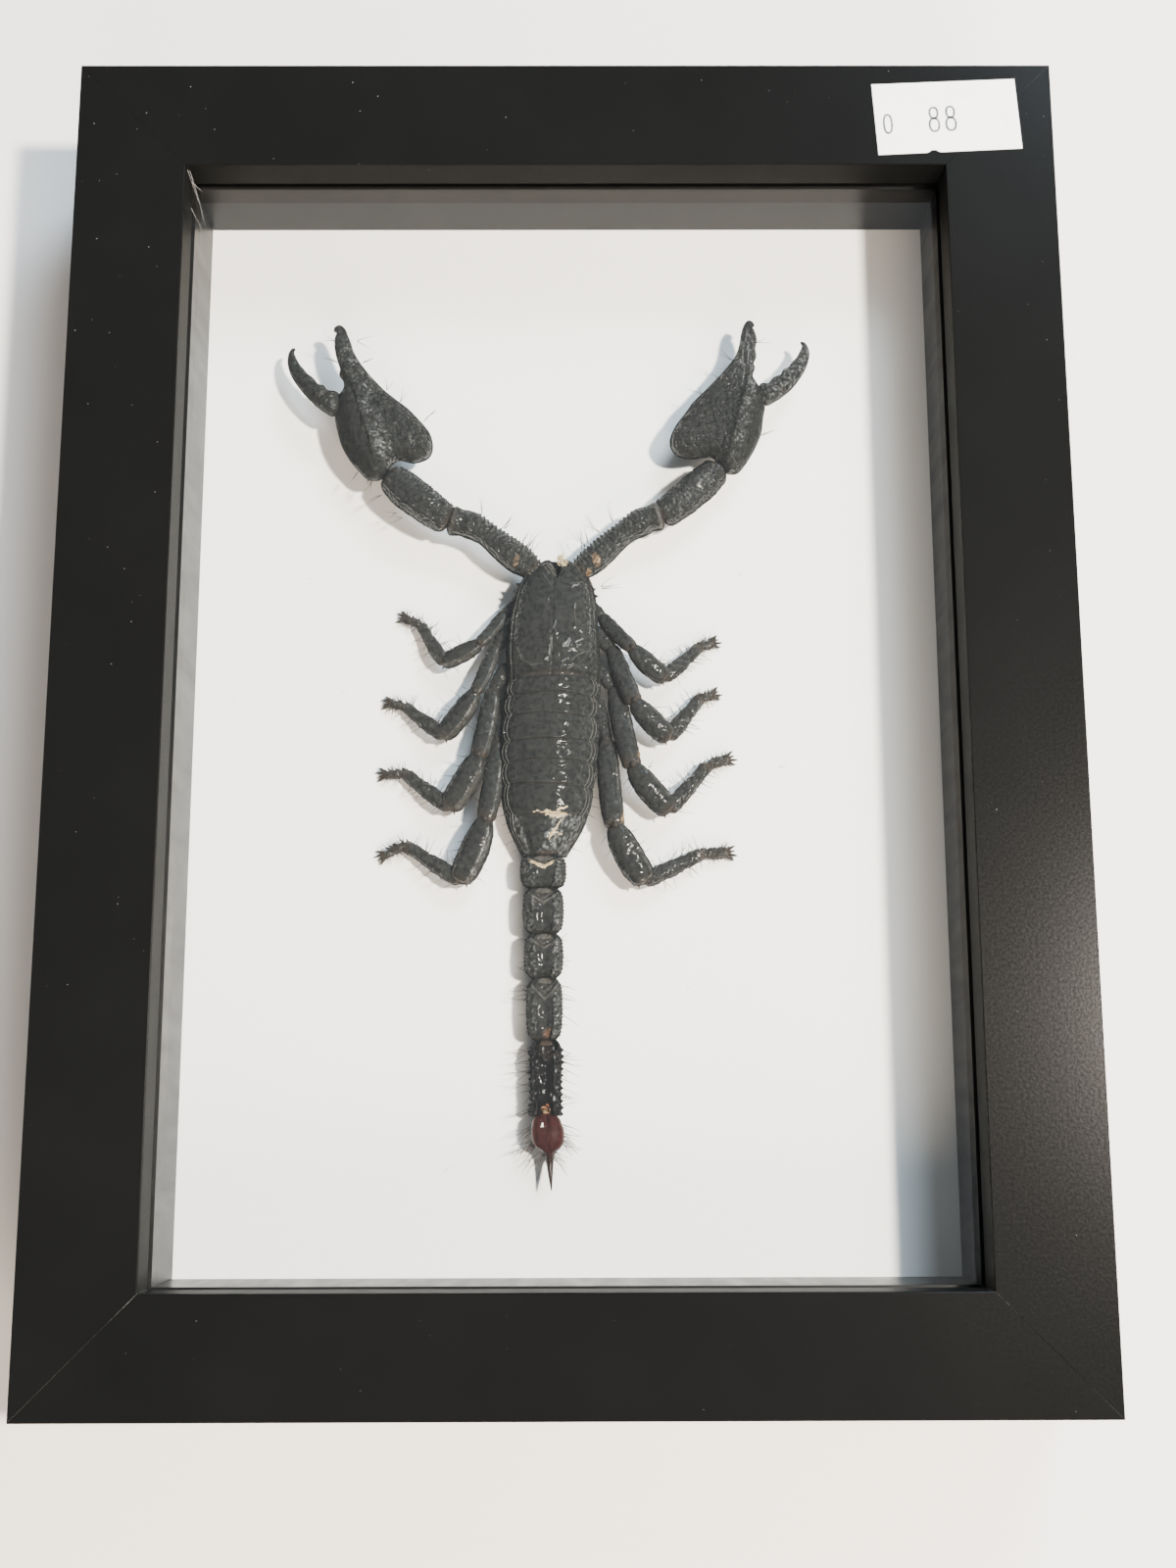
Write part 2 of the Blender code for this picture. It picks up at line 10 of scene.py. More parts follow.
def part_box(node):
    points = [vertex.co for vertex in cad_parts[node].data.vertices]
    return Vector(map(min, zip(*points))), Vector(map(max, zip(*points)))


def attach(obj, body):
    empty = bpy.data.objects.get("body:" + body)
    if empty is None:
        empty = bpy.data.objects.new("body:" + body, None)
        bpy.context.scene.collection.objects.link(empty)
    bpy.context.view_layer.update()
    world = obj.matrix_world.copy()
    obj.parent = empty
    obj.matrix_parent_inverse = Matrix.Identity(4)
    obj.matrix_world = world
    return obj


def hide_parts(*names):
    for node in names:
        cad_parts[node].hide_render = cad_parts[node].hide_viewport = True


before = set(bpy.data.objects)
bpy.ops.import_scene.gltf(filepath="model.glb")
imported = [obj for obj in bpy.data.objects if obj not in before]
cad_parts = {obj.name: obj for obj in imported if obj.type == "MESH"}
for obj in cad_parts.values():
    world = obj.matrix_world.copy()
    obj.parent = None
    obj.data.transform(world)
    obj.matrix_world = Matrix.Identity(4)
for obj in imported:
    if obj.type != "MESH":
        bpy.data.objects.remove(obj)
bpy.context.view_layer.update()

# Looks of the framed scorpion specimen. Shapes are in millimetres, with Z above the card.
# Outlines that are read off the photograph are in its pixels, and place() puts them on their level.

MM = 0.001
CARD_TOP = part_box("mount_card")[1].z / MM
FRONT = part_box("frame_rail_top")[1].z / MM

# The camera that fits the frame's corners in the photograph
PHOTO_WIDTH, PHOTO_HEIGHT = 1200, 1600
PHOTO_FOCAL = 1800.0
SENSOR = 36.0
CAMERA_PLACE = Vector((0.00206, -0.0606, 0.2813))
CAMERA_TURN = Euler([math.radians(angle) for angle in (10.65, -0.22, -0.16)])

# Body rows and tail rings, as in the part's source: y, middle x, half width, top
CARAPACE = [
    (25.7, -1.6, 1.6, 4.2), (25.4, -1.6, 2.6, 5.0), (24.9, -1.6, 3.6, 5.8), (24.1, -1.7, 4.5, 6.3),
    (22.9, -1.7, 5.3, 6.7), (21.0, -1.8, 6.1, 7.2), (17.7, -2.0, 6.8, 7.6), (14.0, -2.2, 7.2, 7.8),
    (10.5, -2.2, 7.4, 7.8), (7.6, -2.1, 7.35, 7.5),
]
FIRST_PLATE_START = (6.3, -2.1, 7.3, 7.3)
BACK_PLATES = [
    (3.7, -2.4, 7.45, 7.3), (0.5, -2.6, 7.55, 7.3), (-3.5, -2.75, 7.6, 7.3), (-6.8, -2.95, 7.5, 7.2),
    (-10.5, -3.1, 7.2, 7.0), (-15.1, -3.2, 6.4, 6.6), (-21.2, -3.5, 3.5, 5.4),
]
TAIL_START = -21.3
# Share of the body's height at which it is widest
WIDEST_LEVEL = 0.42
# Share of each ring's length at which its channel is highest
TAIL_CRESTS = (0.42, 0.60, 0.50, 0.40, 0.45)
TAIL_RINGS = [
    (-26.3, -3.65, 3.4, 5.6), (-33.3, -3.65, 3.0, 5.6), (-40.0, -3.55, 2.85, 5.5),
    (-49.3, -3.45, 2.65, 5.4), (-60.6, -3.2, 2.2, 5.0),
]
# The same for the sting, with its underside before its top
STING = [
    (-60.2, -3.15, 0.9, 1.5, 3.9), (-60.9, -3.15, 1.4, 1.1, 4.65), (-61.7, -3.1, 1.85, 0.8, 4.95),
    (-62.8, -3.0, 2.2, 0.4, 5.05), (-64.2, -2.9, 2.1, 0.4, 5.0), (-65.4, -2.8, 1.55, 0.7, 4.6),
    (-66.3, -2.7, 0.85, 1.5, 4.1), (-67.6, -2.6, 0.55, 2.4, 3.9), (-69.4, -2.5, 0.34, 3.1, 4.0),
    (-71.5, -2.35, 0.07, 4.1, 4.3),
]

# Arms from the wrist to the elbow and from the elbow to the shoulder: x, y, level, half width
ARMS = {
    "left": (
        [(-28.7, 39.4, 5.9, 1.9), (-27.6, 38.5, 5.8, 2.4), (-24.9, 36.2, 5.7, 2.8),
         (-22.6, 34.5, 5.6, 2.75), (-20.5, 33.0, 5.4, 2.5), (-18.3, 31.8, 5.0, 2.25)],
        [(-18.9, 32.1, 5.3, 2.0), (-17.3, 31.7, 5.2, 2.15), (-15.4, 31.2, 5.1, 2.15),
         (-13.0, 29.8, 5.0, 1.8), (-10.7, 28.0, 4.9, 2.05), (-8.8, 26.5, 4.7, 2.25),
         (-7.4, 25.5, 4.5, 2.2), (-5.8, 24.3, 4.2, 1.8), (-4.0, 22.8, 4.0, 1.4)],
    ),
    "right": (
        [(24.7, 40.8, 5.3, 1.8), (23.3, 39.6, 5.2, 2.3), (21.1, 37.6, 5.2, 2.55),
         (18.9, 35.7, 5.1, 2.5), (16.8, 34.0, 5.0, 2.35), (14.7, 32.6, 4.6, 2.2)],
        [(15.4, 32.9, 4.9, 1.9), (13.7, 32.4, 4.9, 2.1), (11.9, 31.7, 4.9, 2.15),
         (9.4, 30.1, 4.8, 1.8), (7.1, 28.1, 4.7, 1.95), (5.0, 26.2, 4.6, 2.1),
         (3.7, 25.2, 4.4, 2.05), (2.3, 24.1, 4.2, 1.7), (0.7, 22.8, 4.0, 1.4)],
    ),
}

# Outlines of the hands with their fixed fingers, in the photograph's pixels
HANDS = {
    "left": [
        (341.2, 340), (342.3, 336.3), (346.2, 334.2), (350.2, 335.2), (353.4, 338.6), (355.6, 344),
        (358.7, 351.7), (361.4, 360.4), (365.8, 368.5), (371.2, 376.6), (377.7, 384.7),
        (385.3, 392.9), (394, 401.5), (405.9, 410.8), (416.7, 418.9), (425.4, 427.6),
        (433.2, 436.2), (439.5, 444.9), (442.2, 454.7), (441.7, 462.2), (438.4, 468.2),
        (431.9, 472), (423.2, 474), (414.6, 472.6), (408, 471.2), (403.5, 473.2), (400.5, 476),
        (397, 481.5), (392.8, 488), (387.5, 491.8), (378.8, 492.3), (373.2, 489.3),
        (366.9, 482.8), (359.3, 474.2), (352.8, 464.4), (347.9, 453.6), (345, 442.7),
        (343.2, 434.1), (342.3, 424), (344, 412), (347, 404.5), (350.3, 400.5), (351.7, 395),
        (350.1, 389.6), (346.9, 385.3), (347.6, 378.8), (344.8, 370.1), (343, 362.5),
        (341.9, 354.9), (342.3, 347.3), (343.9, 342.2),
    ],
    "right": [
        (769.4, 334.3), (766.8, 330.3), (763.2, 329.3), (759.9, 331.8), (757.3, 336.9),
        (755.6, 343.4), (754, 353.2), (751.8, 360.8), (747.5, 369.4), (741.5, 377),
        (734, 385.7), (724.2, 395.5), (714.4, 405.2), (705.8, 413.9), (698.9, 423.6),
        (691.3, 433.4), (685.6, 443.2), (683, 452.9), (685, 460.5), (690.6, 466.5),
        (699.3, 469.2), (707.9, 469.6), (716.6, 468.5), (724.2, 467.8), (729, 470.5),
        (733.5, 477), (739, 483), (743.7, 485.8), (752.6, 484.6), (760, 476.2),
        (767.6, 464.3), (773, 453.4), (776.8, 442.6), (777.8, 433.4), (778.8, 425.8),
        (780.2, 417), (779.4, 408), (776, 399.5), (771.9, 393.3), (767.6, 385.7),
        (769.9, 378.1), (768.6, 372.7), (771.4, 366.2), (770.3, 358.6), (771.7, 348.8),
        (769.7, 340.6), (767.4, 336.4),
    ],
}
# The same for the moving fingers
FINGERS = {
    "left": [
        (302.6, 358.6), (300.2, 357.3), (297.6, 359), (295.3, 363), (294.1, 370), (295, 377.5),
        (298, 386), (303.5, 395), (311.5, 405), (320.5, 414), (329, 420.8), (335.5, 425),
        (340, 426.4), (346, 423), (349, 413), (347.5, 405), (343, 401.6), (337.2, 401),
        (334.3, 399.6), (331.3, 395.6), (328.4, 395.3), (325, 393.6), (322, 389.6),
        (319.3, 387), (314.6, 383.6), (311.6, 379.6), (308.6, 376.3), (305, 371.2),
        (302.2, 365.5), (301, 361.5),
    ],
    "right": [
        (815.8, 351.6), (818.6, 350.8), (821.6, 352.8), (824.6, 358), (825.4, 364.2),
        (824, 372), (820.5, 380.5), (814, 391), (806, 400.3), (797, 407.6), (789, 412.6),
        (782.5, 415.6), (776, 412), (772.5, 402), (774.6, 394.6), (778.5, 393.8),
        (783.6, 393), (787.4, 388.4), (791.5, 386.2), (795.8, 384.6), (798.4, 379.6),
        (803.6, 377), (807.6, 371.6), (811.8, 367.2), (815, 361.6), (817.6, 355.6),
    ],
}
# Pixels of the knuckle and the wrist of each hand, and of the root of each moving finger
KNUCKLES = {"left": (362, 398), "right": (763, 390)}
WRISTS = {"left": (388, 480), "right": (741, 475)}
FINGER_ROOTS = {"left": (345, 413), "right": (777, 404)}
# Level of each hand at its fingertip and wrist, and of each finger at its tip and root
HAND_LEVELS = {"left": (7.2, 5.9), "right": (5.9, 5.3)}
FINGER_LEVELS = {"left": (4.7, 6.4), "right": (4.3, 5.6)}

# Legs from front to back: hip, hip end, knee, ankle, foot joint and toe
LEGS = {
    "left": [
        [(-7.6, 19.4), (-9.9, 17.6), (-13.6, 12.1), (-19.4, 9.45), (-23.2, 16.0), (-26.8, 17.6)],
        [(-8.6, 14.9), (-11.4, 12.1), (-14.2, 4.3), (-19.3, -2.35), (-25.6, 2.8), (-29.0, 3.5)],
        [(-9.4, 8.8), (-11.7, 5.0), (-13.6, -5.8), (-18.2, -13.65), (-25.4, -8.0), (-29.6, -8.1)],
        [(-9.6, 3.2), (-10.9, -3.5), (-12.5, -15.9), (-16.4, -25.05), (-25.2, -19.2), (-29.4, -21.3)],
    ],
    "right": [
        [(3.3, 19.4), (5.5, 17.1), (10.2, 11.3), (15.3, 6.85), (21.0, 12.3), (24.1, 13.4)],
        [(4.3, 14.6), (7.2, 11.8), (10.5, 2.7), (15.8, -2.65), (20.9, 4.0), (24.0, 4.9)],
        [(4.8, 8.6), (7.6, 5.3), (10.1, -7.5), (15.7, -14.15), (22.0, -6.7), (26.2, -5.5)],
        [(4.9, 3.0), (6.3, -3.3), (7.3, -16.9), (11.9, -25.15), (21.0, -20.7), (26.0, -20.6)],
    ],
}
# Half width of each leg's five segments, and the levels of the six joints
LEG_WIDTHS = {
    "left": [(0.9, 1.0, 1.4, 1.0, 0.62), (1.15, 1.15, 1.75, 1.05, 0.64),
             (1.1, 1.5, 2.05, 1.15, 0.68), (0.95, 1.6, 2.25, 1.15, 0.7)],
    "right": [(0.9, 1.2, 1.65, 1.05, 0.66), (1.2, 1.5, 1.85, 1.15, 0.66),
              (1.1, 1.65, 2.05, 1.15, 0.76), (0.95, 1.75, 2.3, 1.2, 0.8)],
}
LEG_LEVELS = (2.4, 2.3, 4.6, 3.3, 1.3, 0.75)
# Numbers of the segments beyond the short one at the hip
FEMUR, PATELLA, TIBIA, FOOT = range(1, 5)
# How each segment swells along its length, and how far it runs past its joints, in mm
SEGMENT_PROFILES = [
    ([0.0, 0.4, 1.0], [0.95, 1.1, 0.9]),
    ([0.0, 0.12, 0.4, 0.75, 0.92, 1.0], [0.72, 0.85, 1.0, 1.0, 0.9, 0.82]),
    ([0.0, 0.08, 0.25, 0.5, 0.75, 0.93, 1.0], [0.5, 0.62, 0.88, 1.0, 0.98, 0.8, 0.62]),
    ([0.0, 0.12, 0.35, 0.7, 0.92, 1.0], [0.8, 1.0, 1.08, 0.86, 0.84, 0.72]),
    ([0.0, 0.1, 0.45, 0.8, 1.0], [0.62, 0.8, 1.0, 0.9, 0.55]),
]
SEGMENT_OVERLAP = [(0.6, 0.3), (0.45, 0.5), (0.5, 0.55), (0.45, 0.2), (0.3, 0.0)]

# Strokes on the carapace in the photograph's pixels: from, to and half width in mm
GOLDEN_STRIPES = [
    (558.5, 576.5, 566.5, 588.5, 0.13), (561, 575.2, 567.6, 584, 0.13),
    (563.8, 574.8, 568.2, 580.4, 0.13), (556, 579, 561, 587, 0.1), (568, 576, 567.6, 588, 0.1),
]
CARAPACE_FOLDS = [
    (583, 676, 590, 669, 0.3), (590, 669, 598, 665.5, 0.3), (598, 665.5, 606, 664, 0.25),
    (579, 684, 587, 680, 0.25), (587, 680, 593, 682, 0.2), (571, 686, 577, 674, 0.22),
    (527.5, 661, 531.5, 673, 0.25), (531.5, 673, 542, 680, 0.25), (542, 680, 553, 679, 0.2),
    (553.5, 585, 558, 592, 0.25), (558, 592, 562, 600, 0.2), (586, 620, 588, 640, 0.22),
    (576, 575, 570.5, 584, 0.2), (582, 597, 593, 594, 0.2),
]
# Swellings of the carapace: middle in pixels, half length and half width in mm, turn in degrees
# and height in mm
CARAPACE_SWELLINGS = [
    (578, 660, 0.9, 0.5, 60, 0.20), (589.5, 656, 0.9, 0.5, 100, 0.20),
    (567.5, 638, 1.2, 0.35, 75, 0.16), (558.6, 675.5, 0.5, 0.4, 0, 0.18),
    (560.8, 664, 0.6, 0.3, 90, 0.14), (559.8, 614, 0.3, 0.3, 0, 0.10),
    (588.4, 597.5, 0.8, 0.35, 20, 0.16), (575.5, 675.5, 0.5, 0.35, 40, 0.16),
    (586.5, 622, 0.7, 0.3, 60, 0.12), (599.5, 628, 0.5, 0.3, 60, 0.12),
    (582.5, 682, 0.7, 0.3, 10, 0.12),
]
# Spurs beside the front of the carapace: tip in pixels, level, and the way they point
SPURS = [
    (523.5, 604, 4.6, -0.9, 0.35), (610.5, 609.5, 4.6, 0.9, 0.1), (522, 613, 4.4, -0.6, -0.1),
    (526.5, 596.5, 4.8, -0.6, 0.4), (608, 602, 4.6, 0.7, 0.3),
]
# Torn patches of the last two back plates, and the bare band on the first tail ring: strokes again
FLAKE = [
    (544, 828.4, 558, 829.2, 0.12), (558, 830, 576, 830.5, 0.42), (562, 833, 568, 834, 0.30),
    (572, 832, 578.5, 831.5, 0.26), (568, 826.8, 577, 824.5, 0.22), (577, 824.5, 578.8, 823.5, 0.2),
]
STAR = [
    (572.3, 837.8, 569.5, 842, 0.13), (569.5, 842, 566, 848, 0.24), (566, 848, 562, 853, 0.28),
    (562, 853, 559.8, 856.8, 0.15), (566, 848, 570, 850, 0.17), (570, 850, 573, 851, 0.11),
    (564, 849, 559.5, 850, 0.14), (563, 852, 567, 854, 0.14),
]
CREAM_BAND = [
    (541.5, 879.5, 549, 882.8, 0.30), (549, 882.8, 556.5, 885.3, 0.38),
    (556.5, 885.3, 562.5, 881.2, 0.32), (562, 881, 564.5, 879.2, 0.18),
]
# Crests of the carapace's wrinkles and of the right hand's fixed finger, painted pale as highlights: strokes
# again
GLINT_CRESTS = [
    (561.6, 660, 560.8, 670, 0.15), (557, 676, 559.5, 673, 0.20), (575.5, 661.5, 580.5, 653.5, 0.25),
    (579.5, 662, 583, 655.5, 0.15), (587.5, 657.5, 594, 653, 0.17), (588.5, 662, 593, 659.5, 0.14),
    (573.5, 677, 577.5, 673.5, 0.18), (580.5, 680, 586, 678, 0.13), (585, 600, 591, 596.5, 0.16),
    (586.8, 617.5, 586, 623, 0.11), (565.5, 643.5, 568.5, 635.5, 0.15), (559.8, 612.5, 560.2, 615, 0.13),
]
FINGER_CRESTS = [
    (762.5, 334, 760.5, 350, 0.20), (758.5, 350, 757, 372, 0.22), (764, 352, 762.5, 374, 0.16),
    (766, 378, 763, 396, 0.18), (759.5, 378, 756.5, 396, 0.18), (753, 373, 746, 388, 0.13),
]
# Grains of the last tail ring with a painted glint: middle in pixels and half width in mm
LIT_GRAINS = [
    (554, 1070, 0.40), (564.5, 1070, 0.38), (548, 1083, 0.30), (549, 1090, 0.24), (567.3, 1093, 0.36),
    (545.5, 1075, 0.26), (568, 1110, 0.34), (565.5, 1121, 0.55), (562.5, 1117, 0.34), (545, 1103, 0.26),
    (566, 1079, 0.30), (546.5, 1116, 0.24),
]

# Where pairs of hairs grow on the hands and arms, in pixels, and which way they point
HAND_HAIRS = [
    (365, 350, 1, 0.4), (371, 372, 1, 0.6), (395, 400, 0.7, 0.8), (409, 412, 0.5, 0.9),
    (433, 432, 0.9, 0.5), (440, 425, 0.5, 0.4), (376, 491, -0.4, -1), (380, 493, -0.1, -1),
    (366, 483, -0.8, -0.8), (732, 387, -0.8, 0.5), (715, 404, -0.8, 0.6), (747, 370, -1, 0.3),
    (769, 352, 1, 0.3), (776, 446, 1, 0.1), (342, 350, -1, 0.3), (345, 372, -1, 0.5),
]
ARM_HAIRS = [
    (492, 527, 0.1, 1), (512, 541, 0.9, 0.6), (515, 541, 0.8, 0.5), (533, 555, 0.3, 1),
    (538, 562, 0.6, 1), (537, 560, 0.9, 0.8), (541, 566, 0.5, 1), (411, 530, -1, -0.4),
    (405, 525, -1, -0.3), (390, 507, -1, -0.5), (612, 545, -0.9, 0.8), (600, 556, -0.4, 1),
    (597, 560, -0.6, 1), (594, 563, -0.2, 1), (625, 534, -0.5, 0.9), (600, 590, 0.4, -1),
    (614, 602, 1, -0.3), (613, 600, 0.8, 0.3),
]
# Tears in the left and right femur and elbow: middle in pixels, half sizes in mm and turn
ARM_TEARS = {
    "left": [(527, 575, 1.1, 0.5, 70), (463, 518, 0.5, 0.35, 0)],
    "right": [(608.5, 574, 1.3, 0.75, 105), (600.8, 585, 0.7, 0.5, 60), (669.5, 514.5, 0.5, 0.35, 0)],
}

# The frame's moulding, as in the part's source: width of a rail, width and depth of its lip
RAIL, LIP_WIDTH, LIP_DEPTH = 17.0, 4.5, 5.8
# How worn the mitres are at their inner and outer ends, from the lower left corner round
MITRE_WEAR = [(0.9, 0.0), (0.35, 0.25), (0.0, 0.4), (0.0, 0.0)]
# Corners of the label in pixels, from the upper left round, and its thickness
LABEL_CORNERS = [(889.1, 86.0), (1035.0, 80.3), (1043.5, 151.2), (896.6, 157.9)]
LABEL_THICKNESS = 0.14
# The loops of its figures, each with its height above the middle, half width and half height in
# mm, and the middles of the figures in pixels
EIGHT = [(1.05, 0.62, 0.92), (-0.98, 0.74, 1.08)]
ZERO = [(0.0, 0.62, 1.55)]
LABEL_FIGURES = [(953, 121.5, EIGHT), (970, 120.5, EIGHT), (906, 126.5, ZERO)]

# How far every light stands from the middle of the frame, in metres
LIGHT_DISTANCE = 0.9


# Numbers

EYE = np.array(CAMERA_PLACE) / MM
TURN = np.array(CAMERA_TURN.to_matrix())


def place(px, py, level):
    """Return the point on a level above the card that the photograph shows at a pixel."""
    ray = TURN @ np.array([(px - PHOTO_WIDTH / 2) / PHOTO_FOCAL,
                           (PHOTO_HEIGHT / 2 - py) / PHOTO_FOCAL, -1.0])
    found = EYE + ray * (CARD_TOP + level - EYE[2]) / ray[2]
    return np.array([found[0], found[1], level])


def hashed(cell, seed):
    """Return repeatable numbers from 0 to 1 for whole-number cells."""
    mask = 0xFFFFFFFF
    mixed = (cell[..., 0] * 374761393 + cell[..., 1] * 668265263 + cell[..., 2] * 1442695041
             + seed * 974634777) & mask
    mixed = ((mixed ^ (mixed >> 13)) * 1274126177) & mask
    mixed = ((mixed ^ (mixed >> 15)) * 668265263) & mask
    return ((mixed ^ (mixed >> 16)) & 0xFFFF) / 0xFFFF


def soft_noise(points, size, seed):
    """Return smooth noise from -1 to 1 with lumps of about the given size."""
    scaled = points / size
    base = np.floor(scaled).astype(np.int64)
    part = scaled - base
    part = part * part * (3 - 2 * part)
    total = np.zeros(len(points))
    for corner in np.ndindex(2, 2, 2):
        offset = np.array(corner)
        weight = np.prod(np.where(offset, part, 1 - part), axis=1)
        total += weight * hashed(base + offset, seed)
    return 2 * total - 1


def cell_distance(points, size, seed):
    """Return the distance to the nearest of some scattered points, in cell sizes."""
    scaled = points / size
    base = np.floor(scaled).astype(np.int64)
    nearest = np.full(len(points), 9.0)
    for corner in np.ndindex(3, 3, 3):
        cell = base + np.array(corner) - 1
        centre = cell + np.stack([hashed(cell, seed + k) for k in (11, 23, 37)], axis=1)
        nearest = np.minimum(nearest, np.linalg.norm(scaled - centre, axis=1))
    return nearest


def granules(points, size, seed):
    """Return rounded grains from 0 to 1."""
    return np.clip(1 - (cell_distance(points, size, seed) / 0.62) ** 2, 0, 1)


def shaken(points, across, along, size, seed):
    """Return points moved about sideways, so that a mark placed by them has a ragged rim."""
    return points + np.column_stack([across * soft_noise(points, size, seed),
                                     along * soft_noise(points, size, seed + 1),
                                     np.zeros(len(points))])


def step(values, low, high):
    """Return 0 below a low value and 1 above a high one, with a smooth rise between them."""
    share = np.clip((values - low) / (high - low), 0, 1)
    return share * share * (3 - 2 * share)


def fall(values, low, high):
    return step(-values, -high, -low)


def window(values, rise_start, rise_end, fall_start, fall_end):
    return step(values, rise_start, rise_end) * fall(values, fall_start, fall_end)


def bell(values, middle, width):
    return np.exp(-((values - middle) / width) ** 2)


def flattened(points):
    return np.column_stack([points[:, :2], np.zeros(len(points))])


def flow(places, values, at):
    """Read a table smoothly, without overshoot. Places must rise."""
    places = np.asarray(places, float)
    values = np.asarray(values, float)
    gaps = np.diff(places)
    slopes = np.diff(values) / gaps
    tangents = np.zeros(len(values))
    tangents[0], tangents[-1] = slopes[0], slopes[-1]
    same_way = slopes[1:] * slopes[:-1] > 0
    total = slopes[1:] + slopes[:-1]
    inner = np.where(same_way, 2 * slopes[1:] * slopes[:-1] / np.where(total == 0, 1, total), 0)
    tangents[1:-1] = inner
    at = np.asarray(at, float)
    k = np.clip(np.searchsorted(places, at, side="right") - 1, 0, len(gaps) - 1)
    t = np.clip((at - places[k]) / gaps[k], 0, 1)
    h00, h10 = 2 * t**3 - 3 * t**2 + 1, t**3 - 2 * t**2 + t
    h01, h11 = -2 * t**3 + 3 * t**2, t**3 - t**2
    return (h00 * values[k] + h10 * gaps[k] * tangents[k]
            + h01 * values[k + 1] + h11 * gaps[k] * tangents[k + 1])


def curve_through(points, at):
    """Lay a smooth open curve through points.

    Return its points at shares of its length, the length, and the shares of the given points.
    """
    points = np.asarray(points, float)
    lengths = np.concatenate([[0], np.cumsum(np.linalg.norm(np.diff(points, axis=0), axis=1))])
    dense = []
    for k in range(len(points) - 1):
        before = points[max(k - 1, 0)]
        after = points[min(k + 2, len(points) - 1)]
        for t in np.linspace(0, 1, 12, endpoint=False):
            dense.append(0.5 * (2 * points[k] + (points[k + 1] - before) * t
                                + (2 * before - 5 * points[k] + 4 * points[k + 1] - after) * t * t
                                + (3 * points[k] - before - 3 * points[k + 1] + after) * t**3))
    dense.append(points[-1])
    dense = np.array(dense)
    run = np.concatenate([[0], np.cumsum(np.linalg.norm(np.diff(dense, axis=0), axis=1))])
    found = np.column_stack([np.interp(np.asarray(at) * run[-1], run, axis) for axis in dense.T])
    return found, run[-1], lengths / lengths[-1]


# Meshes

class Shape:
    """One piece's points, faces and marks, gathered from several closed skins."""

    def __init__(self):
        self.points = []
        self.faces = []
        self.marks = []
        self.count = 0

    def add(self, points, faces, **marks):
        self.points.append(points)
        self.faces.extend([[i + self.count for i in face] for face in faces])
        self.marks.append((len(points), marks))
        self.count += len(points)

    def make(self, name, material, slot, replaces=(), smooth=True):
        points = np.concatenate(self.points) + np.array([0, 0, CARD_TOP])
        mesh = bpy.data.meshes.new(name)
        mesh.from_pydata((points * MM).tolist(), [], self.faces)
        shell = bmesh.new()
        shell.from_mesh(mesh)
        bmesh.ops.recalc_face_normals(shell, faces=shell.faces)
        shell.to_mesh(mesh)
        shell.free()
        for key in sorted({key for _, marks in self.marks for key in marks}):
            values = np.concatenate([np.broadcast_to(marks.get(key, 0.0), (count,))
                                     for count, marks in self.marks])
            attribute = mesh.attributes.new(key, "FLOAT", "POINT")
            attribute.data.foreach_set("value", values.astype(np.float32))
        if smooth:
            mesh.shade_smooth()
        mesh.materials.append(material)
        piece = bpy.data.objects.new(name, mesh)
        bpy.context.scene.collection.objects.link(piece)
        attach(piece, "root")
        if replaces:
            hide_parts(*replaces)
        return piece


def skin(rows, sides):
    """Return the faces of a closed skin over rings of points."""
    i = np.arange(sides)
    j = (i + 1) % sides
    quads = []
    for row in range(rows - 1):
        a, b = row * sides, (row + 1) * sides
        quads.append(np.stack([a + i, a + j, b + j, b + i], axis=1))
    faces = np.concatenate(quads).tolist()
    faces.append(list(range(sides - 1, -1, -1)))
    faces.append(list(range((rows - 1) * sides, rows * sides)))
    return faces


def powered(values, power):
    return np.sign(values) * np.abs(values) ** power


def limb(stations, pitch, sides, flatness=1.0, caps=(1.0, 1.0), power=0.92, relief=None):
    """Return the points and faces of a rounded limb along (x, y, level, half width), and data.

    The data are how far along the limb each point is, in mm and as a share, its angle round the
    limb, and how near it is to the full width. relief(data, points) gives how far each point
    stands out of the plain form.
    """
    stations = np.asarray(stations, float)
    _, length, shares = curve_through(stations[:, :3], [0.0])
    middle = np.arange(caps[0], length - caps[1], pitch)
    rise = 1 - np.cos(np.linspace(0.06, math.pi / 2, 8))
    along = np.concatenate([caps[0] * rise[:-1], middle, length - caps[1] * rise[:-1][::-1]])
    centres, _, _ = curve_through(stations[:, :3], along / length)
    half = flow(shares, stations[:, 3], along / length)
    from_start = np.clip(along / caps[0], 0, 1)
    from_end = np.clip((length - along) / caps[1], 0, 1)
    close = np.sqrt(1 - (1 - from_start) ** 2) * np.sqrt(1 - (1 - from_end) ** 2)
    tangent = np.gradient(centres, along, axis=0)
    tangent /= np.linalg.norm(tangent, axis=1)[:, None]
    across = np.cross(tangent, np.array([0, 0, 1.0]))
    across /= np.linalg.norm(across, axis=1)[:, None]
    up = np.cross(across, tangent)
    angle = np.linspace(0, 2 * math.pi, sides, endpoint=False)
    c, s = powered(np.cos(angle), power), powered(np.sin(angle), power)
    ring = (across[:, None, :] * (c[None, :, None] * (half * close)[:, None, None])
            + up[:, None, :] * (s[None, :, None] * (half * close * flatness)[:, None, None]))
    points = (centres[:, None, :] + ring).reshape(-1, 3)
    rows = len(along)
    data = {
        "along": np.repeat(along, sides),
        "share": np.repeat(along / length, sides),
        "angle": np.tile(angle, rows),
        "close": np.repeat(close, sides),
    }
    if relief is not None:
        outward = ring.reshape(-1, 3)
        outward = outward / np.maximum(np.linalg.norm(outward, axis=1), 1e-6)[:, None]
        amount = relief(data, points) * data["close"]
        points = points + outward * amount[:, None]
    return points, skin(rows, sides), data


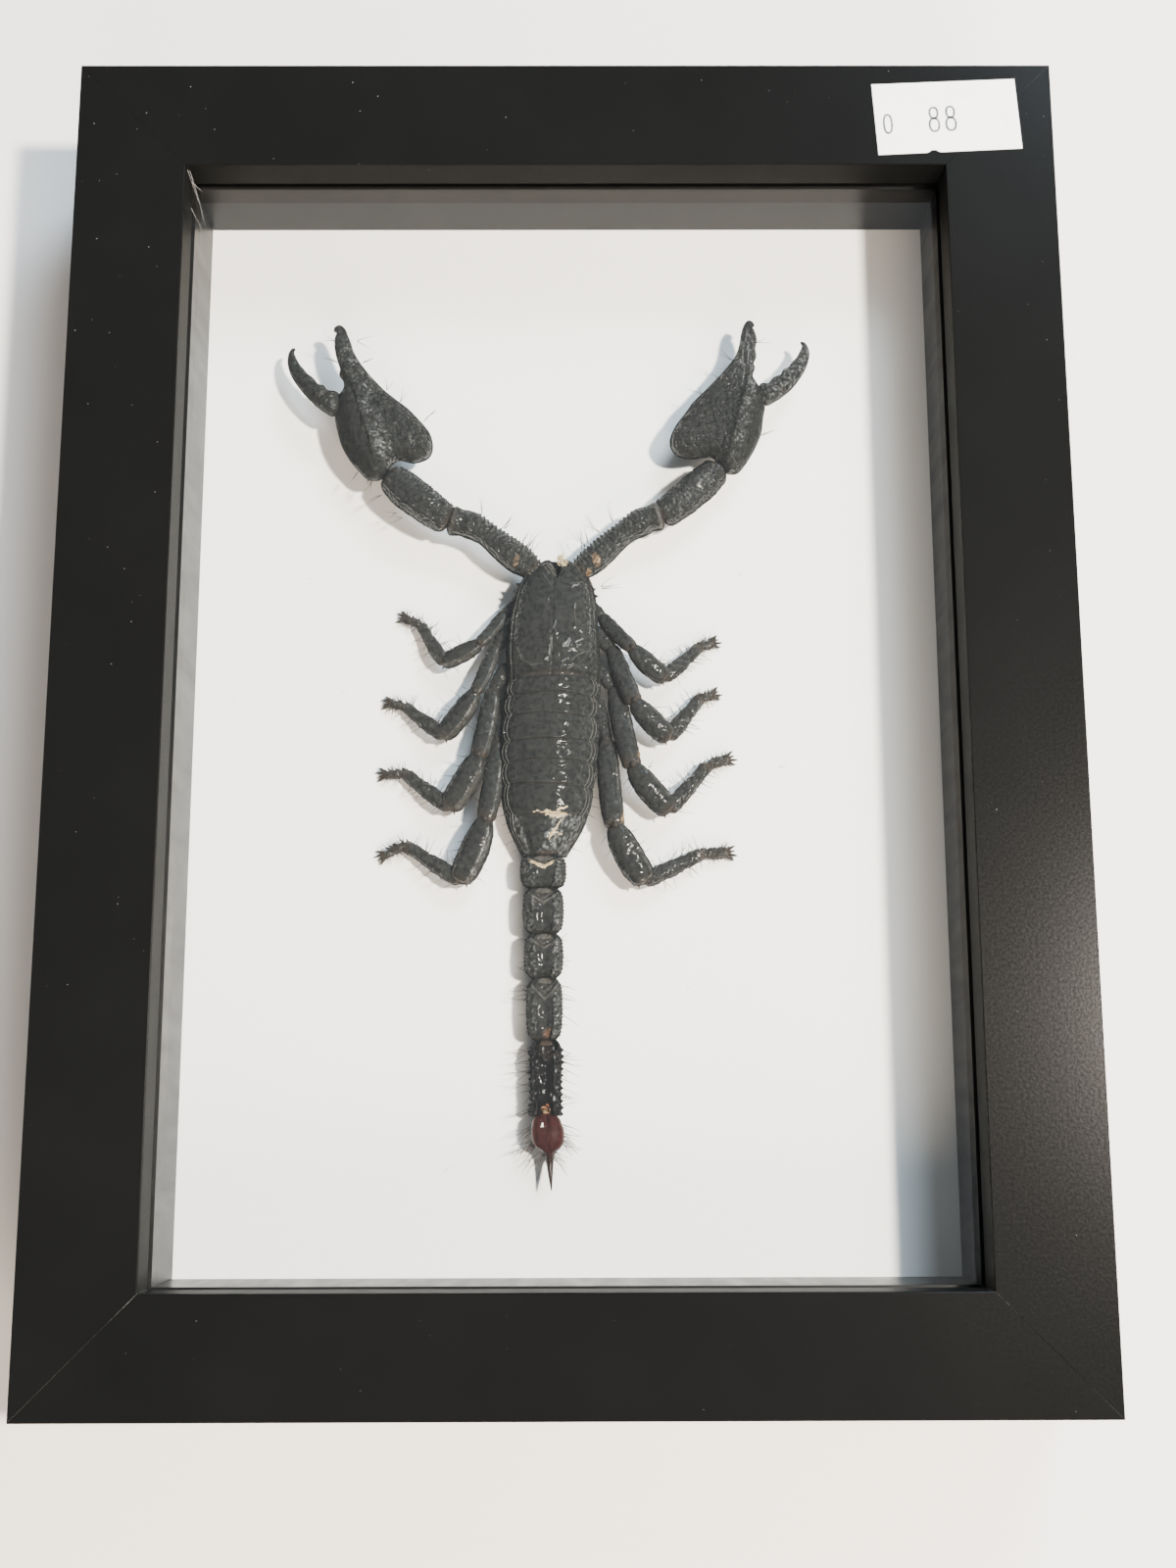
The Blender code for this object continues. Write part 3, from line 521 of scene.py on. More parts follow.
def add_peg(shape, path, pitch, sides, caps, **marks):
    """Add a short plain limb to a shape."""
    points, faces, _ = limb(path, pitch, sides, caps=caps)
    shape.add(points, faces, **marks)


def ridge(angle, at, width):
    """Return how near an angle in degrees a point lies, from 0 to 1."""
    gap = (np.degrees(angle) - at + 180) % 360 - 180
    return np.exp(-(gap / width) ** 2)


def beads(along, pitch, shift=0.0):
    return 0.5 + 0.5 * np.cos(2 * math.pi * (along / pitch + shift))


def spot(points, px, py, level, long, wide, turn=0.0):
    """Return 1 in the middle of an oval mark, 0 on its rim and less outside."""
    middle = place(px, py, level)
    dx, dy = points[:, 0] - middle[0], points[:, 1] - middle[1]
    c, s = math.cos(math.radians(turn)), math.sin(math.radians(turn))
    u, v = (dx * c + dy * s) / long, (dy * c - dx * s) / wide
    return 1 - np.sqrt(u * u + v * v)


def streaks(points, level, lines):
    """Return 1 on some strokes (px, py, px, py, half width in mm) and 0 on their rims."""
    best = np.full(len(points), -1.0)
    for ax, ay, bx, by, half in lines:
        a, b = place(ax, ay, level)[:2], place(bx, by, level)[:2]
        run = b - a
        t = np.clip((points[:, :2] - a) @ run / (run @ run), 0, 1)
        distance = np.linalg.norm(points[:, :2] - a - t[:, None] * run, axis=1)
        best = np.maximum(best, 1 - distance / half)
    return best


# Flat lumps with an outline, for the hands and fingers

def closed_curve(points, pitch):
    points = np.asarray(points, float)
    count = len(points)
    dense = []
    for k in range(count):
        p0, p1, p2, p3 = (points[(k + i) % count] for i in (-1, 0, 1, 2))
        steps = max(2, int(np.linalg.norm(p2 - p1) / pitch + 0.5))
        for t in np.linspace(0, 1, steps, endpoint=False):
            dense.append(0.5 * (2 * p1 + (p2 - p0) * t + (2 * p0 - 5 * p1 + 4 * p2 - p3) * t * t
                                + (3 * p1 - p0 - 3 * p2 + p3) * t**3))
    return np.array(dense)


def edge_distance(points, loop):
    """Return the distance of flat points to a closed loop, and whether they lie inside it."""
    best = np.full(len(points), 1e9)
    inside = np.zeros(len(points), bool)
    for a, b in zip(loop, np.roll(loop, -1, axis=0)):
        run = b - a
        t = np.clip(((points - a) @ run) / max(run @ run, 1e-12), 0, 1)
        best = np.minimum(best, np.sum((points - a - t[:, None] * run) ** 2, axis=1))
        crosses = (a[1] > points[:, 1]) != (b[1] > points[:, 1])
        if a[1] != b[1]:
            x = a[0] + (points[:, 1] - a[1]) * run[0] / run[1]
            inside ^= crosses & (points[:, 0] < x)
    return np.sqrt(best), inside


def lump(outline, pitch, profile):
    """Return the points and faces of a closed lump over an outline.

    profile(points, distance from the outline) gives the levels of its top and bottom.
    """
    loop = closed_curve(outline, pitch)
    tangent = np.roll(loop, -1, axis=0) - np.roll(loop, 1, axis=0)
    tangent /= np.linalg.norm(tangent, axis=1)[:, None]
    normal = np.stack([-tangent[:, 1], tangent[:, 0]], axis=1)
    area = np.sum(loop[:, 0] * np.roll(loop[:, 1], -1) - loop[:, 1] * np.roll(loop[:, 0], -1))
    if area < 0:
        normal = -normal
    near = []
    for depth in (0.035, 0.11, 0.22):
        shifted = loop + normal * depth
        distance, inside = edge_distance(shifted, loop)
        near.append(shifted[inside & (distance > 0.8 * depth)])
    low, high = loop.min(axis=0), loop.max(axis=0)
    rows = np.arange(low[1], high[1], pitch * 0.87)
    grid = np.array([(x, y) for k, y in enumerate(rows)
                     for x in np.arange(low[0] + (k % 2) * pitch / 2, high[0], pitch)])
    distance, inside = edge_distance(grid, loop)
    grid = grid[inside & (distance > 0.32)]
    flat = np.concatenate([loop] + near + [grid])
    count = len(loop)
    edges = [(i, (i + 1) % count) for i in range(count)]
    result = delaunay_2d_cdt([Vector(p) for p in flat.tolist()], edges, [], 1, 1e-5)
    flat = np.array([(p.x, p.y) for p in result[0]])
    triangles = [list(face) for face in result[2]]
    distance, _ = edge_distance(flat, loop)
    rim = distance < 1e-4
    top, bottom = profile(flat, distance)
    upper = np.column_stack([flat, top])
    lower_index = np.full(len(flat), -1)
    lower_index[~rim] = np.arange(np.sum(~rim)) + len(flat)
    lower_index[rim] = np.nonzero(rim)[0]
    lower = np.column_stack([flat, bottom])[~rim]
    faces = triangles + [[int(lower_index[i]) for i in reversed(face)] for face in triangles]
    return np.concatenate([upper, lower]), faces


# Materials

def node(tree, kind, inputs=None, **settings):
    """Add a shader node, and set each of its inputs to a value or join it to a socket."""
    made = tree.nodes.new("ShaderNode" + kind)
    for key, value in settings.items():
        setattr(made, key, value)
    for key, value in (inputs or {}).items():
        if isinstance(value, bpy.types.NodeSocket):
            tree.links.new(value, made.inputs[key])
        else:
            made.inputs[key].default_value = value
    return made


def join(socket, shader, name):
    socket.id_data.links.new(socket, shader.inputs[name])


def new_material(name, **inputs):
    material = bpy.data.materials.new(name)
    material.use_nodes = True
    shader = material.node_tree.nodes["Principled BSDF"]
    for key, value in inputs.items():
        shader.inputs[key.replace("_", " ")].default_value = value
    return material, shader


def place_in_mm(material, scale=(1.0, 1.0, 1.0)):
    coords = node(material.node_tree, "TexCoord").outputs["Object"]
    return node(material.node_tree, "Mapping", {
        "Vector": coords, "Scale": tuple(value / MM for value in scale)}).outputs[0]


def mark(material, name):
    return node(material.node_tree, "Attribute", attribute_name=name).outputs["Fac"]


def noise(vector, scale, detail=2.0, roughness=0.5):
    return node(vector.id_data, "TexNoise", {
        "Vector": vector, "Scale": scale, "Detail": detail, "Roughness": roughness}).outputs["Fac"]


def cells(vector, scale):
    return node(vector.id_data, "TexVoronoi", {"Vector": vector, "Scale": scale}).outputs


def red_of(color):
    return node(color.id_data, "SeparateColor", {"Color": color}).outputs[0]


def ramp(factor, low, high, start=0.0, end=1.0):
    return node(factor.id_data, "MapRange", {
        "Value": factor, "From Min": low, "From Max": high, "To Min": start, "To Max": end}).outputs["Result"]


def maths(operation, first, second):
    return node(first.id_data, "Math", {0: first, 1: second}, operation=operation).outputs[0]


def times(first, second):
    return maths("MULTIPLY", first, second)


def plus(first, second):
    return maths("ADD", first, second)


def mix_color(factor, first, second):
    first, second = (end if isinstance(end, bpy.types.NodeSocket) else (*end, 1.0) for end in (first, second))
    return node(factor.id_data, "Mix", {0: factor, 6: first, 7: second}, data_type="RGBA").outputs[2]


def bump(height, distance, strength, before=None):
    inputs = {"Height": height, "Distance": distance * MM, "Strength": strength}
    if before is not None:
        inputs["Normal"] = before
    return node(height.id_data, "Bump", inputs).outputs["Normal"]


def ragged(plain, wave):
    """Return a mark with a ragged rim; it stays 0 where the mark is 0."""
    value = plus(plain, times(maths("SUBTRACT", wave, 0.5), 2.2))
    return times(ramp(value, 0.38, 0.62), ramp(plain, 0.0, 0.15))


def shell_material(name, dark, light, specular):
    """Glossy near-black cuticle, with marks for bare tissue, tan membrane, brown joints, pale lines and
    painted glints.
    """
    material, shader = new_material(name, IOR=1.5)
    vector = place_in_mm(material)
    clouds = noise(vector, 0.8, 4.0)
    coarse = noise(vector, 2.4, 4.0, 0.7)
    fine = noise(vector, 3.5, 4.0, 0.6)
    base = mix_color(ramp(noise(vector, 1.3, 5.0, 0.7), 0.36, 0.66), dark, light)
    brown = times(mark(material, "brown"), ramp(fine, 0.25, 0.6, 0.3, 1.0))
    base = mix_color(brown, base, (0.040, 0.028, 0.020))
    # Pale lines, stripes and chevrons, and painted highlights along the legs' crests and lit flanks
    dusty = times(mark(material, "dusty"), ramp(fine, 0.3, 0.55, 0.25, 1.0))
    base = mix_color(dusty, base, (0.056, 0.054, 0.049))
    # Painted highlight: pale specks stand for glints on granules and crests where the light catches them
    speck = times(maths("POWER", mark(material, "speck"), 1.7), ramp(clouds, 0.35, 0.6, 0.2, 0.9))
    base = mix_color(speck, base, (0.150, 0.157, 0.160))
    stained = ragged(mark(material, "tan"), coarse)
    membrane = mix_color(mark(material, "ruddy"), (0.21, 0.135, 0.070), (0.17, 0.062, 0.026))
    membrane = mix_color(ramp(coarse, 0.4, 0.6), (0.035, 0.018, 0.010), membrane)
    base = mix_color(stained, base, membrane)
    bare = ragged(mark(material, "pale"), coarse)
    tissue = mix_color(ramp(fine, 0.38, 0.6), (0.13, 0.09, 0.042), (0.42, 0.35, 0.21))
    join(mix_color(bare, base, tissue), shader, "Base Color")
    dull = maths("MAXIMUM", mark(material, "matt"), maths("MAXIMUM", bare, stained))
    join(plus(ramp(clouds, 0.3, 0.7, 0.055, 0.095), times(dull, 0.25)), shader, "Roughness")
    # The steep flanks have no gloss, so that they don't mirror the pale card
    facing = node(material.node_tree, "LayerWeight", {"Blend": 0.5}).outputs["Facing"]
    gloss = times(ramp(facing, 0.30, 0.60, 1.0, 0.0), ramp(dull, 0.0, 1.0, specular, 0.4 * specular))
    join(gloss, shader, "Specular IOR Level")
    distance = cells(vector, 1.9)["Distance"]
    pebbles = times(times(distance, times(distance, -1.0)), mark(material, "grain"))
    waves = bump(noise(vector, 0.9, 1.0, 0.4), 0.10, 0.6)
    join(bump(pebbles, 0.18, 0.9, waves), shader, "Normal")
    return material


def sting_material():
    material, shader = new_material("sting shell", IOR=1.5)
    veins = noise(place_in_mm(material, (3.0, 0.5, 3.0)), 1.2, 3.0)
    base = mix_color(ramp(veins, 0.35, 0.7), (0.012, 0.0035, 0.003), (0.027, 0.0065, 0.0055))
    base = mix_color(mark(material, "dark"), base, (0.012, 0.006, 0.005))
    join(mix_color(mark(material, "rim"), base, (0.075, 0.042, 0.036)), shader, "Base Color")
    dull = mark(material, "dull")
    join(plus(ramp(veins, 0.3, 0.7, 0.07, 0.11), times(dull, 0.3)), shader, "Roughness")
    join(ramp(dull, 0.0, 1.0, 0.26, 0.02), shader, "Specular IOR Level")
    join(bump(noise(place_in_mm(material), 3.0), 0.03, 0.5), shader, "Normal")
    return material


def mottled_material(name, roughness, scale, detail, dark, light):
    material, shader = new_material(name, Roughness=roughness)
    join(mix_color(noise(place_in_mm(material), scale, detail), dark, light), shader, "Base Color")
    return material


def frame_material():
    """Black satin finish with settled dust, mostly at the upper left, and pale worn mitres."""
    material, shader = new_material("black satin frame", IOR=1.5)
    vector = place_in_mm(material)
    fine = noise(vector, 2.2, 3.0)
    base = mix_color(noise(vector, 0.05, 3.0), (0.0034, 0.0036, 0.0036), (0.0050, 0.0053, 0.0053))
    sides = node(material.node_tree, "SeparateXYZ", {"Vector": vector}).outputs
    dusty = ramp(maths("SUBTRACT", sides["Y"], times(sides["X"], 0.6)), -20.0, 130.0, 0.55, 1.0)
    for scale, largest, least in ((0.75, 0.085, 0.62), (0.16, 0.035, 0.5)):
        specks = cells(vector, scale)
        limit = times(ramp(red_of(specks["Color"]), least, 1.0, 0.0, largest), dusty)
        dust = maths("LESS_THAN", specks["Distance"], limit)
        base = mix_color(times(dust, 0.55), base, (0.16, 0.16, 0.15))
    worn = times(mark(material, "worn"), ramp(fine, 0.35, 0.6))
    join(mix_color(worn, base, (0.16, 0.155, 0.15)), shader, "Base Color")
    inner = mark(material, "inner")
    join(plus(ramp(fine, 0.3, 0.7, 0.16, 0.21), times(inner, 0.35)), shader, "Roughness")
    join(ramp(inner, 0.0, 1.0, 0.06, 0.04), shader, "Specular IOR Level")
    join(bump(fine, 0.012, 0.5), shader, "Normal")
    return material


def spacer_material():
    material, shader = new_material("smooth black spacer", IOR=1.5, Specular_IOR_Level=0.10)
    vector = place_in_mm(material, (1.0, 1.0, 0.2))
    clouds = noise(vector, 0.4, 3.0)
    join(mix_color(clouds, (0.005, 0.0052, 0.0054), (0.009, 0.0094, 0.0098)), shader, "Base Color")
    join(ramp(clouds, 0.3, 0.7, 0.30, 0.40), shader, "Roughness")
    join(bump(noise(vector, 3.0), 0.01, 0.3), shader, "Normal")
    return material


def card_material():
    """Off-white card with a fine felt grain and a few darker fibres."""
    material, shader = new_material("off-white card", Roughness=0.85, Specular_IOR_Level=0.25)
    vector = place_in_mm(material)
    grain = noise(place_in_mm(material, (1.6, 0.7, 1.0)), 1.6, 4.0, 0.6)
    base = mix_color(noise(vector, 0.02, 3.0), (0.84, 0.83, 0.815), (0.87, 0.86, 0.845))
    base = mix_color(ramp(grain, 0.35, 0.65, 0.0, 0.10), base, (0.68, 0.66, 0.63))
    specks = cells(vector, 0.22)
    limit = ramp(red_of(specks["Color"]), 0.75, 1.0, 0.0, 0.03)
    fibre = maths("LESS_THAN", specks["Distance"], limit)
    join(mix_color(times(fibre, 0.5), base, (0.35, 0.34, 0.33)), shader, "Base Color")
    join(bump(grain, 0.03, 0.6), shader, "Normal")
    return material


def board_material():
    material, shader = new_material("hardboard", Roughness=0.75)
    fibres = noise(place_in_mm(material, (1.0, 0.35, 1.0)), 1.5, 5.0, 0.65)
    join(mix_color(fibres, (0.09, 0.05, 0.028), (0.27, 0.17, 0.095)), shader, "Base Color")
    join(bump(fibres, 0.06, 0.7), shader, "Normal")
    return material


def steel_material():
    material, shader = new_material("zinc-plated steel", Metallic=1.0)
    vector = place_in_mm(material)
    spangle = red_of(cells(vector, 0.5)["Color"])
    join(mix_color(spangle, (0.46, 0.47, 0.49), (0.62, 0.63, 0.65)), shader, "Base Color")
    join(ramp(noise(vector, 2.0), 0.3, 0.7, 0.28, 0.42), shader, "Roughness")
    return material


def label_material():
    material, shader = new_material("white label paper", Roughness=0.7)
    vector = place_in_mm(material)
    clouds = ramp(noise(vector, 0.35, 5.0, 0.65), 0.45, 0.75, 0.0, 0.5)
    join(mix_color(clouds, (0.86, 0.87, 0.87), (0.74, 0.75, 0.75)), shader, "Base Color")
    join(bump(noise(vector, 1.5, 3.0), 0.02, 0.4), shader, "Normal")
    return material


def ink_material():
    material, shader = new_material("faded stamp ink", Roughness=0.6)
    worn = ramp(noise(place_in_mm(material), 3.0, 4.0, 0.7), 0.45, 0.75)
    join(mix_color(worn, (0.035, 0.04, 0.05), (0.30, 0.31, 0.33)), shader, "Base Color")
    return material


def glass_material():
    """Clear glass that lets shadow rays and rays bounced off the specimen straight through."""
    material, shader = new_material("clear glass", Roughness=0.0, IOR=1.5, Transmission_Weight=1.0)
    shader.inputs["Base Color"].default_value = (0.97, 0.985, 0.98, 1.0)
    tree = material.node_tree
    path = node(tree, "LightPath").outputs
    straight = maths("MAXIMUM", path["Is Shadow Ray"], path["Is Diffuse Ray"])
    mirrored = maths("SUBTRACT", path["Is Glossy Ray"], path["Is Transmission Ray"])
    clear = node(tree, "BsdfTransparent", {"Color": (0.95, 0.96, 0.955, 1.0)})
    blend = node(tree, "MixShader", {
        0: maths("MAXIMUM", straight, mirrored), 1: shader.outputs[0], 2: clear.outputs[0]})
    join(blend.outputs[0], tree.nodes["Material Output"], "Surface")
    return material


SHELL = shell_material("black shell", (0.0058, 0.0063, 0.0060), (0.0172, 0.0178, 0.0166), 0.32)
# Painted shade: a darker copy of the shell for the last tail ring, which looks blacker because the glass over
# it mirrors less light
SHADED_SHELL = shell_material("shell with painted shade", (0.0016, 0.0014, 0.0014), (0.0040, 0.0035, 0.0035), 0.20)
STING_SHELL = sting_material()
HAIR = mottled_material("hair", 0.45, 0.6, 2.0, (0.010, 0.007, 0.005), (0.045, 0.028, 0.020))
TUFT = mottled_material("cream fibres", 0.6, 2.5, 3.0, (0.30, 0.22, 0.10), (0.62, 0.54, 0.34))
GREY_FIBRE = mottled_material("grey fibres", 0.8, 1.5, 2.0, (0.072, 0.072, 0.072), (0.12, 0.12, 0.12))
PALE_DUST = mottled_material("pale dust", 0.8, 1.5, 2.0, (0.252, 0.252, 0.252), (0.42, 0.42, 0.42))
FLOOR = mottled_material("pale floor", 0.8, 0.01, 3.0, (0.70, 0.69, 0.67), (0.74, 0.73, 0.71))

CAD_MATERIALS = {
    "spacer": spacer_material(), "glass_pane": glass_material(),
    "mount_card": card_material(), "back_board": board_material(), "tab": steel_material(),
}
CAD_MATERIALS["hanger"] = CAD_MATERIALS["tab"]
for node_name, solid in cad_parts.items():
    for start, material in CAD_MATERIALS.items():
        if node_name.startswith(start):
            solid.data.materials.clear()
            solid.data.materials.append(material)
            for polygon in solid.data.polygons:
                polygon.material_index = 0


# Body

def plate_edge(number, v):
    """Return y of the rear edge of a plate across the body; 0 is the carapace."""
    ends = [FIRST_PLATE_START[0]] + [plate[0] for plate in BACK_PLATES]
    wave = 0.12 * np.sin(2.4 * v + 1.9 * number) + 0.06 * np.sin(6.1 * v + number)
    return ends[number] + wave - 0.2 * v * v


def build_body():
    """The carapace and seven back plates as one skin, with the spurs beside the carapace."""
    ys, *tables = np.array(CARAPACE + [FIRST_PLATE_START] + BACK_PLATES)[::-1].T
    front_y, rear_y = 25.75, FIRST_PLATE_START[0]
    angle = np.concatenate([np.linspace(0, math.pi, 196, endpoint=False),
                            np.linspace(math.pi, 2 * math.pi, 30, endpoint=False)])
    sides = len(angle)
    v_ring = np.cos(angle)
    rings, plate_share, plate_number = [], [], []
    for share in np.linspace(0, 1, 150):
        start = front_y - (front_y - rear_y) * share ** 1.1
        rings.append(start + (plate_edge(0, v_ring) - rear_y) * step(share, 0.55, 1.0))
        plate_share.append(share)
        plate_number.append(0)
    inner = np.concatenate([[0.0, 0.015, 0.04, 0.08], np.linspace(0.13, 0.86, 19),
                            [0.9, 0.94, 0.97, 0.99, 1.0]])
    for number in range(1, 8):
        start, end = plate_edge(number - 1, v_ring), plate_edge(number, v_ring)
        for share in inner:
            rings.append(start + (end - start) * share)
            plate_share.append(share)
            plate_number.append(number)
    y = np.array(rings)
    rows = len(y)
    share = np.repeat(plate_share, sides)
    number = np.repeat(plate_number, sides)
    at = np.clip(y, ys[0], ys[-1]).ravel()
    y = y.ravel()
    x_mid, half, top = (flow(ys, table, at) for table in tables)
    lift = 1.4 * step(y, 24.0, 25.7)
    widest = lift + WIDEST_LEVEL * (top - lift)
    c, s = np.tile(np.cos(angle), rows), np.tile(np.sin(angle), rows)
    scallop = np.sin(math.pi * share) ** 0.7
    x = x_mid + powered(c, 0.93) * (half + np.where(number > 0, 0.16 * scallop, 0.0))
    reach = np.where(s > 0, top - widest, widest - 0.1 - lift)
    crown = np.where(c > 0, 1.8, 1.15)
    crown = crown + (0.8 - crown) * step(y, 6.0, 10.0)
    z = widest + reach * np.sign(s) * np.abs(s) ** np.where(s > 0, crown, 0.8)
    v = (x - x_mid) / half
    away = np.abs(v)
    above = step(s, 0.05, 0.3)
    points = np.stack([x, y, z], axis=1)
    front = np.where(number == 0, 1.0, 0.0)
    back = 1 - front
    dz = front * carapace_relief(points, v) + back * plate_relief(points, v, share, number)
    notch = front * 2.5 * np.exp(-(np.abs(x + 1.5) / 0.55) ** 1.3) * step(y, 21.2, 25.3)
    points = points + np.column_stack([np.zeros(len(points)), -notch, dz * above])

    # Torn patches: the front one lies a little below the shell, the rear one a little above it
    moved = shaken(points, 0.22, 0.18, 0.55, 71)
    flake, star = streaks(moved, 6.5, FLAKE), streaks(moved, 6.2, STAR)
    pale = np.clip(1.9 * np.maximum(flake, star), 0, 1) * above
    golden = 0.8 * step(streaks(points, 6.4, GOLDEN_STRIPES), 0.0, 0.5) * above
    points[:, 2] += above * (0.10 * step(star, 0.1, 0.5) - 0.06 * step(flake, 0.1, 0.4))
    collar = np.clip(1.8 * spot(points, 559, 874, 5.5, 2.1, 0.8), 0, 0.55) * above
    rim = np.clip(1 - np.abs(spot(points, 559, 873.5, 5.5, 2.2, 0.95) - 0.04) / 0.12, 0, 1) * above
    points[:, 2] += 0.16 * rim * step(-y, 20.0, 20.4) - 0.30 * step(collar, 0.0, 0.4)
    seam = front * bell(y, 6.6, 0.3) + back * (1 - step(share, 0.0, 0.08))
    brown = 0.3 * seam * fall(away, 0.3, 0.8) + 0.9 * step(collar, 0, 0.3)
    rims = front * 0.25 * bell(away, 0.905, 0.012)
    for fold in (0.80, 0.868):
        rims = np.maximum(rims, back * bell(away, fold + 0.085 * scallop, 0.011))
    rims = np.maximum(rims, back * 0.25 * bell(share, 0.96, 0.015) * fall(away, 0.7, 0.85))
    folds = 0.35 * front * step(streaks(points, 7.0, CARAPACE_FOLDS), 0.2, 0.8)
    # Painted highlight: glints on the granular flanks and the last plate, painted as pale specks
    speck = granules(points, 0.5, 21) * window(away, 0.5, 0.7, 0.88, 0.93)
    speck = speck * np.where(number == 7, 0.9, 0.35)
    last_plate_glints = granules(points, 0.62, 23) * step(np.maximum(away, v + 0.5 + 0.3 * share), 0.45, 0.7)
    speck = np.where(number == 7, np.maximum(speck, last_plate_glints * fall(away, 0.9, 0.96)), speck)
    # The wrinkle crests are raised a little and painted pale as highlights
    glint_crests = np.clip(1.6 * streaks(moved, 7.0, GLINT_CRESTS), 0, 1)
    points[:, 2] += 0.10 * glint_crests * above
    speck = np.maximum(speck, glint_crests)
    shape = Shape()
    shape.add(points, skin(rows, sides), pale=pale, tan=0.6 * collar, brown=np.maximum(brown, golden),
              speck=speck * above,
              dusty=np.maximum(np.maximum(rims, folds), 0.8 * golden) * above,
              matt=0.4 * step(away, 0.9, 0.95), grain=0.12 + 0.88 * step(away, 0.62, 0.8))
    for px, py, level, ux, uy in SPURS:
        tip = place(px, py, level)
        root = tip - np.array([ux, uy, 0]) * 1.3
        path = [(*(root + (tip - root) * t), w) for t, w in ((0, 0.55), (0.6, 0.3), (1, 0.06))]
        add_peg(shape, path, 0.1, 12, (0.1, 0.08), grain=0.5)
    shape.make("body_shell", SHELL, "shell", ["scorpion_body"])


def carapace_relief(points, v):
    """Return how far the carapace stands above its plain form."""
    x, y = points[:, 0], points[:, 1]
    away = np.abs(v)
    off = x - (-2.05 - 0.022 * (22 - y))
    right = step(off, 0.2, 0.8)
    rise = -0.17 * bell(off, 0, 0.11) * fall(y, 22.0, 23.5)
    rise -= 0.22 * bell(x, -1.5, 0.8) * step(y, 21.5, 24.5) + 0.20 * bell(off, 0.05, 0.5) * bell(y, 9.6, 1.9)
    # Eye mound with an eye on either side of the furrow
    rise += 0.22 * np.exp(-(off / 1.0) ** 2 - ((y - 12.6) / 1.8) ** 2)
    for side in (-1, 1):
        rise += 0.15 * np.exp(-((off - side * 0.55) / 0.26) ** 2 - ((y - 13.2) / 0.32) ** 2)
    # Side rims
    rise += -0.22 * bell(away, 0.865, 0.024) + 0.12 * bell(away, 0.905, 0.022)
    # Folds and swellings read off the photograph
    rise += 0.16 * step(streaks(points, 7.0, CARAPACE_FOLDS), 0.0, 1.0)
    for px, py, long, wide, turn, height in CARAPACE_SWELLINGS:
        reach = 1 - spot(points, px, py, 7.2, long, wide, turn)
        rise += height * np.exp(-reach ** 2)
    rise += -0.22 * fall(y, 6.7, 7.25) + 0.10 * bell(y, 7.3, 0.2)
    # The left half is smooth, the right half finely wrinkled beside the middle
    rear = fall(y, 9.5, 12.5)
    folds = soft_noise(points * np.array([0.8, 1.2, 1.0]), 0.8, 8)
    fine = soft_noise(points, 0.45, 5)
    lively = (0.25 + 0.75 * rear) * right + 0.5 * rear * (1 - right)
    lively = lively + 0.7 * right * step(v, 0.3, 0.6)
    rise += fall(away, 0.75, 0.86) * lively * (0.055 * folds + 0.05 * fine)
    rise += 0.02 * soft_noise(points, 1.6, 6)
    grain = granules(points, 0.42, 9)
    rise += 0.08 * grain * np.maximum(step(away, 0.7, 0.85), 0.4 * step(v, 0.5, 0.65))
    return rise


def plate_relief(points, v, share, number):
    """Return how far the back plates stand above their plain form."""
    away = np.abs(v)
    folds = soft_noise(points * np.array([0.55, 1.0, 1.0]), 1.0, 3)
    fine = soft_noise(points * np.array([0.6, 1.2, 1.0]), 0.5, 14)
    inside = fall(away, 0.70, 0.80)
    lively = inside * (0.12 + 0.88 * step(v, -0.1, 0.1) * (0.45 + 0.55 * fall(v, 0.4, 0.6)))
    rise = -0.24 * (1 - step(share, 0.0, 0.07)) - 0.10 * step(share, 0.975, 1.0)
    rise += 0.05 * bell(share, 0.93, 0.04) - 0.04 * bell(share, 0.80, 0.04)
    rise += inside * (0.04 * np.sin(math.pi * share) - 0.05 * bell(share, 0.28, 0.04) * step(v, -0.1, 0.2))
    rise += lively * (0.13 * folds + 0.05 * fine)
    # Muscle marks: shallow hollows beside the middle of each plate
    rise -= 0.09 * inside * bell(away, 0.60, 0.12) * bell(share, 0.5, 0.3)
    # Folded flanks: rims that follow each plate's bowed side edge
    bow = 0.085 * np.sin(math.pi * share) ** 0.7
    for fold, depth in ((0.765, -0.20), (0.80, 0.15), (0.834, -0.18), (0.868, 0.15), (0.90, -0.14)):
        rise += depth * bell(away, fold + bow, 0.016)
    last = np.where(number == 7, 1.0, 0.0)
    grain = granules(points, 0.5, 21)
    rise += last * 0.13 * grain * step(away + 0.8 * share, 0.6, 1.0)
    rise += last * 0.12 * granules(points, 0.62, 23) * step(v + 0.5 + 0.3 * share, 0.45, 0.7)
    keel = bell(away, 0.42, 0.07) + bell(away, 0.72, 0.06)
    rise += last * 0.12 * keel * window(share, 0.3, 0.6, 0.85, 0.95)
    rise += 0.05 * granules(points, 0.4, 25) * window(away, 0.72, 0.82, 0.86, 0.9)
    return rise


# Tail

